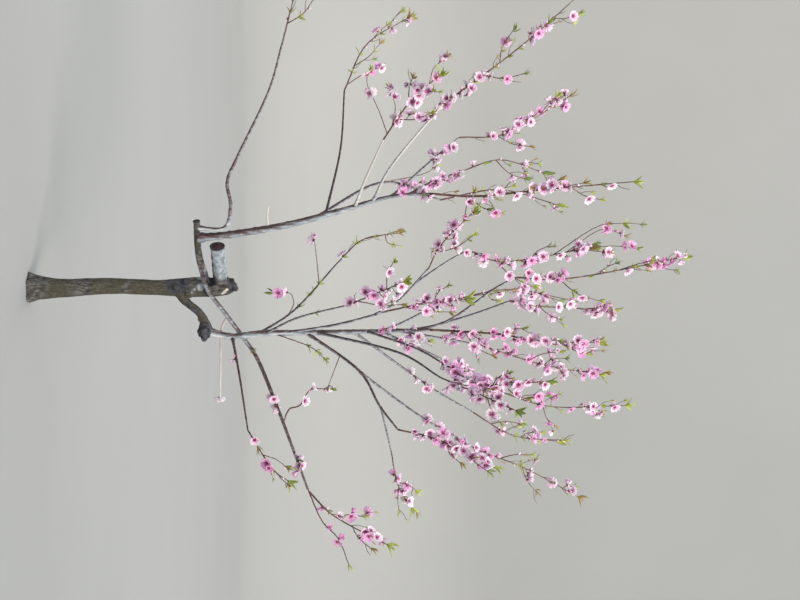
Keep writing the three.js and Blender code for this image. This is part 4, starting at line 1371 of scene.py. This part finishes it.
filaments = []
anthers = []
for i in range(STAMENS):
    lean = within(STAMEN_LEANS, i * LEAN_STEP % 1)
    reach = STAMEN_LENGTH * within(STAMEN_REACHES, i * REACH_STEP % 1)
    foot = (Matrix.Translation((0, 0, CUP_HEIGHT * MM * STAMEN_FOOT))
            @ Matrix.Rotation(i * GOLDEN_TURN, 4, "Z") @ Matrix.Rotation(lean, 4, "X"))
    filaments.append(add_cone(3, FILAMENT_RADII, reach, foot @ Matrix.Translation((0, 0, reach * MM / 2))))
    anthers.append(add_cone(4, ANTHER_RADII, ANTHER_LENGTH, foot @ Matrix.Translation((0, 0, reach * MM))))
filament_shape = join("filament_shape", filaments)
anther_shape = join("anther_shape", anthers)

petal_places = {tone: [] for tone in PETAL_TONES}
for seat, state, tone in flowers:
    tilt = opening.uniform(*OPENNESS[state])
    for k in range(PETALS):
        steep = math.radians(tilt + opening.uniform(-TILT_STRAY, TILT_STRAY))
        turn = k * 2 * math.pi / PETALS + opening.uniform(-TURN_STRAY, TURN_STRAY)
        roll = opening.uniform(-ROLL_STRAY, ROLL_STRAY)
        petal_places[tone].append(
            seat @ Matrix.Rotation(turn, 4, "Z")
            @ Matrix.Translation((0, PETAL_SEAT * MM, CUP_HEIGHT * MM * PETAL_SEAT_HEIGHT))
            @ Matrix.Rotation(steep, 4, "X") @ Matrix.Rotation(roll, 4, "Y")
            @ Matrix.Scale(opening.uniform(*PETAL_SIZES), 4))
for tone, places in petal_places.items():
    finish_kind(joined_copies("petals_" + tone, petal_shape, places),
                petal_skin(tone + "_almond_petal", PETAL_TONES[tone]))
all_petals = [place for places in petal_places.values() for place in places]
seats = [seat for seat, _, _ in flowers]
# Name, shape, places, material, its two shades, the size of its patches in millimetres and its roughness.
for name, shape, places, skin, shades, patch, roughness in (
    ("petal_blushes", blush_shape, all_petals, "blushed_petal_foot", ("#e39fca", "#efb9dc"), 3.3, 0.55),
    ("petal_stains", stain_shape, all_petals, "crimson_petal_foot", ("#a53a78", "#c4609c"), 3.3, 0.55),
    ("flower_cups", cup_shape, seats, "red_flower_cup", ("#7a2c48", "#a1505c"), 4, 0.5),
    ("stamens", filament_shape, seats, "crimson_stamen", ("#b24a88", "#dd93c0"), 4, 0.5),
    ("anthers", anther_shape, seats, "ripe_anther", ("#8a3f5c", "#c98a80"), 2.5, 0.7),
):
    finish_kind(joined_copies(name, shape, places), mottled_skin(skin, shades, patch, roughness))


# Buds: flowers still shut, fat and round, their petals rolled tight over a red cup, and the small dark
# pointed leaf buds that sit all along the shoots.
BUD_RADIUS = 4.6
BUD_STRETCH = 1.35
BUD_SIZES = (0.7, 1.15)
# A bud's middle is so high over its seat, and keeps so far from a flower's middle.
BUD_HEIGHT = 9
BUD_ROOM = 10
# Leaf buds: one to so many millimetres, its radii and length, its lean, and how deep it sits in the bark.
LEAF_BUD_STEP = 21
LEAF_BUD_START = 0.6
LEAF_BUD_LAST = 0.98
LEAF_BUD_RADII = (1.1, 0.2)
LEAF_BUD_LENGTH = 3.6
LEAF_BUD_LEAN = 0.55
LEAF_BUD_SEAT = 0.7

bpy.ops.object.select_all(action="DESELECT")
bpy.ops.mesh.primitive_uv_sphere_add(segments=8, ring_count=6, radius=BUD_RADIUS * MM)
bud_shape = bpy.context.object
bud_shape.data.transform(Matrix.Translation((0, 0, (CUP_HEIGHT + BUD_RADIUS * 0.5) * MM))
                         @ Matrix.Scale(BUD_STRETCH, 4, (0, 0, 1)))
leaf_bud_shape = add_cone(4, LEAF_BUD_RADII, LEAF_BUD_LENGTH,
                          Matrix.Translation((0, 0, LEAF_BUD_LENGTH * MM / 2)))

bud_places = []
for place, way in buds:
    if np.min(np.linalg.norm(np.array(flower_middles) - (place + way * BUD_HEIGHT), axis=1)) > BUD_ROOM:
        seat = standing(place, way, opening.uniform(0, 6))
        bud_places.append(seat @ Matrix.Scale(opening.uniform(*BUD_SIZES), 4))
half = len(bud_places) // 2
for name, shape, places, skin, shades, patch, roughness in (
    ("buds_pale", bud_shape, bud_places[:half], "pale_flower_bud", ("#f0cfe2", "#f8e8f1"), 5, 0.55),
    ("buds_rose", bud_shape, bud_places[half:], "rose_flower_bud", ("#d983b4", "#eab6d5"), 5, 0.55),
    ("bud_cups", cup_shape, bud_places, "red_bud_cup", ("#642434", "#8d4342"), 4, 0.5),
):
    finish_kind(joined_copies(name, shape, places), mottled_skin(skin, shades, patch, roughness))

leaf_buds = []
thin_shoots = fine_shoots + single_woods
for wood in stems + twigs + thin_shoots:
    for i in range(int(wood.length // LEAF_BUD_STEP)):
        share = (i + LEAF_BUD_START) * LEAF_BUD_STEP / wood.length
        if share < LEAF_BUD_LAST:
            turn = i * GOLDEN_TURN * 2
            way = leaning(wood.line.along(share)[0], turn, LEAF_BUD_LEAN)
            leaf_buds.append(standing(wood.on_bark(share, turn, LEAF_BUD_SEAT), way, turn))
finish_kind(joined_copies("leaf_buds", leaf_bud_shape, leaf_buds),
            mottled_skin("dark_leaf_bud_scale", ("#33201b", "#5c4034"), 3.3, 0.6))


# Leaves: the first young leaves, in tufts at the tips of the shoots and a few beside the blossom. They
# are lance-shaped, still folded along the middle rib, soft, and a fresh yellow-green.
LEAF_ROWS = [(0, 0.8, 0), (5, 2.8, 0.3), (12, 4.4, 0.6), (20, 3.9, 0), (27, 2.2, -1.2), (32, 0.3, -2.8)]
LEAF_FOLD = 2.2
LEAF_THICKNESS = 0.45
STEM_LEAF_SIZES = (1.3, 1.8)
TWIG_LEAF_SIZES = (0.7, 1.25)
FINE_LEAF_SIZES = (0.45, 0.9)
# In a tuft each leaf stands a step lower than the last. Sizes rise to the full one from a share of it, and
# each leaf is rolled a little. Near its tip, at its reach, it has to be clear of limbs and other sprays.
LEAF_STEP = 2.2
FIRST_LEAF = 0.7
LEAF_ROLL = 0.8
LEAF_REACH = 30
# Kinds of tuft: their leaves, from so many to fewer than so many, and how far they lean from the wood.
TIP_TUFT = (4, 7)
TIP_LEANS = (0.1, 0.7)
FINE_TUFT = (2, 5)
FINE_TUFT_LEANS = (0.1, 0.8)
FINE_TUFT_CHANCE = 0.6
SIDE_TUFT = (2, 4)
SIDE_LEANS = (0.5, 0.9)
SIDE_TUFT_STEP = 130
SIDE_TUFT_SHARES = (0.2, 0.95)
FLOWERING_TUFT = 3
FLOWERING_LEANS = (0.2, 0.8)
LEAFY_TUFT = 5
LEAFY_LEANS = (0.2, 1.0)
OLD_WOOD_TUFT = 4
OLD_WOOD_LEANS = (0.4, 1.0)
# Where tufts stand on a shoot with no flowers, from its tip down, and from what length there are several.
LEAFY_SHARES = (0.97, 0.8, 0.62)
LONG_SHOOT = 120
# Tufts that the picture shows on older wood: the limb, and how far along it, over 1 on its stem.
LEAFY_PLACES = [
    ("bough_middle_1", 0.42), ("bough_middle_1", 0.56), ("bough_middle_1", 0.64), ("bough_middle_1", 0.72),
    ("bough_middle_1", 1.1), ("bough_middle_1", 1.36), ("bough_middle_2", 0.6), ("bough_right_1", 0.41),
    ("bough_right_1", 0.88), ("bough_right_2", 1.3), ("left_leader", 0.97), ("bough_left_2", 1.2),
]
LEAF_TONES = {
    "fresh": ("#9aa84a", "#bfc96e"),
    "grassy": ("#7c9148", "#9dae60"),
    "bronze": ("#968a4b", "#b4995f"),
}
LEAF_TONE_CHANCES = (0.5, 0.3, 0.2)
LEAFING_SEED = 909

leafing = np.random.default_rng(LEAFING_SEED)
leaf_shape = draw_blade("leaf_shape", LEAF_ROWS, 2, LEAF_FOLD, 0, LEAF_THICKNESS)
leaf_places = {tone: [] for tone in LEAF_TONES}


def tuft_at(wood, share, count, first_turn, lean_range, size_range):
    """A tuft of young leaves round a shoot, the inner ones smaller and steeper, all in one tone."""
    tone = leafing.choice(list(LEAF_TONES), p=LEAF_TONE_CHANCES)
    for k in range(count):
        along = float(np.clip(share - k * LEAF_STEP / wood.length, FIRST_SHARE, 1))
        lean = within(lean_range, (k + 0.5) / count)
        direction = leaning(wood.line.along(along)[0], first_turn + k * GOLDEN_TURN, lean)
        place = wood.line.at(along)[0]
        size = leafing.uniform(*size_range) * within((FIRST_LEAF, 1), (k + 1) / count)
        tip = place + direction * LEAF_REACH * size
        if wood.spray is not None and not in_own_space(tip[None], wood.spray, 0):
            continue
        blade = Vector(direction).to_track_quat("Y", "Z").to_matrix().to_4x4()
        roll = Matrix.Rotation(leafing.uniform(-LEAF_ROLL, LEAF_ROLL), 4, "Y")
        seat = Matrix.Translation(Vector(place) * MM) @ blade @ roll
        leaf_places[tone].append(seat @ Matrix.Scale(size, 4))


for wood, turn in tufts:
    sizes = STEM_LEAF_SIZES if wood in stems else TWIG_LEAF_SIZES
    tuft_at(wood, 1.0, leafing.integers(*TIP_TUFT), turn, TIP_LEANS, sizes)
for wood in thin_shoots:
    if leafing.random() < FINE_TUFT_CHANCE:
        count = leafing.integers(*FINE_TUFT)
        tuft_at(wood, 1.0, count, leafing.uniform(0, 6), FINE_TUFT_LEANS, FINE_LEAF_SIZES)
for wood, stretch in singles:
    if stretch:
        tuft_at(wood, 1.0, FLOWERING_TUFT, leafing.uniform(0, 6), FLOWERING_LEANS, TWIG_LEAF_SIZES)
    else:
        for share in LEAFY_SHARES if wood.length > LONG_SHOOT else LEAFY_SHARES[:1]:
            tuft_at(wood, share, LEAFY_TUFT, leafing.uniform(0, 6), LEAFY_LEANS, TWIG_LEAF_SIZES)
for name, share in LEAFY_PLACES:
    turn = leafing.uniform(0, 6)
    tuft_at(*on_limb(name, share), OLD_WOOD_TUFT, turn, OLD_WOOD_LEANS, TWIG_LEAF_SIZES)
for wood in stems + twigs:
    sizes = TWIG_LEAF_SIZES if SPRAYS[wood.spray][0] in LATE_SPRAYS else FINE_LEAF_SIZES
    for _ in range(int(wood.length // SIDE_TUFT_STEP)):
        share = leafing.uniform(*SIDE_TUFT_SHARES)
        tuft_at(wood, share, leafing.integers(*SIDE_TUFT), leafing.uniform(0, 6), SIDE_LEANS, sizes)
for tone, places in leaf_places.items():
    finish_kind(joined_copies("leaves_" + tone, leaf_shape, places),
                mottled_skin(tone + "_young_almond_leaf", LEAF_TONES[tone], 17, 0.5))

# The shapes that the copies were made from are no part of the tree.
for shape in (petal_shape, blush_shape, stain_shape, cup_shape, filament_shape, anther_shape, bud_shape,
              leaf_bud_shape, leaf_shape):
    bpy.data.objects.remove(shape)
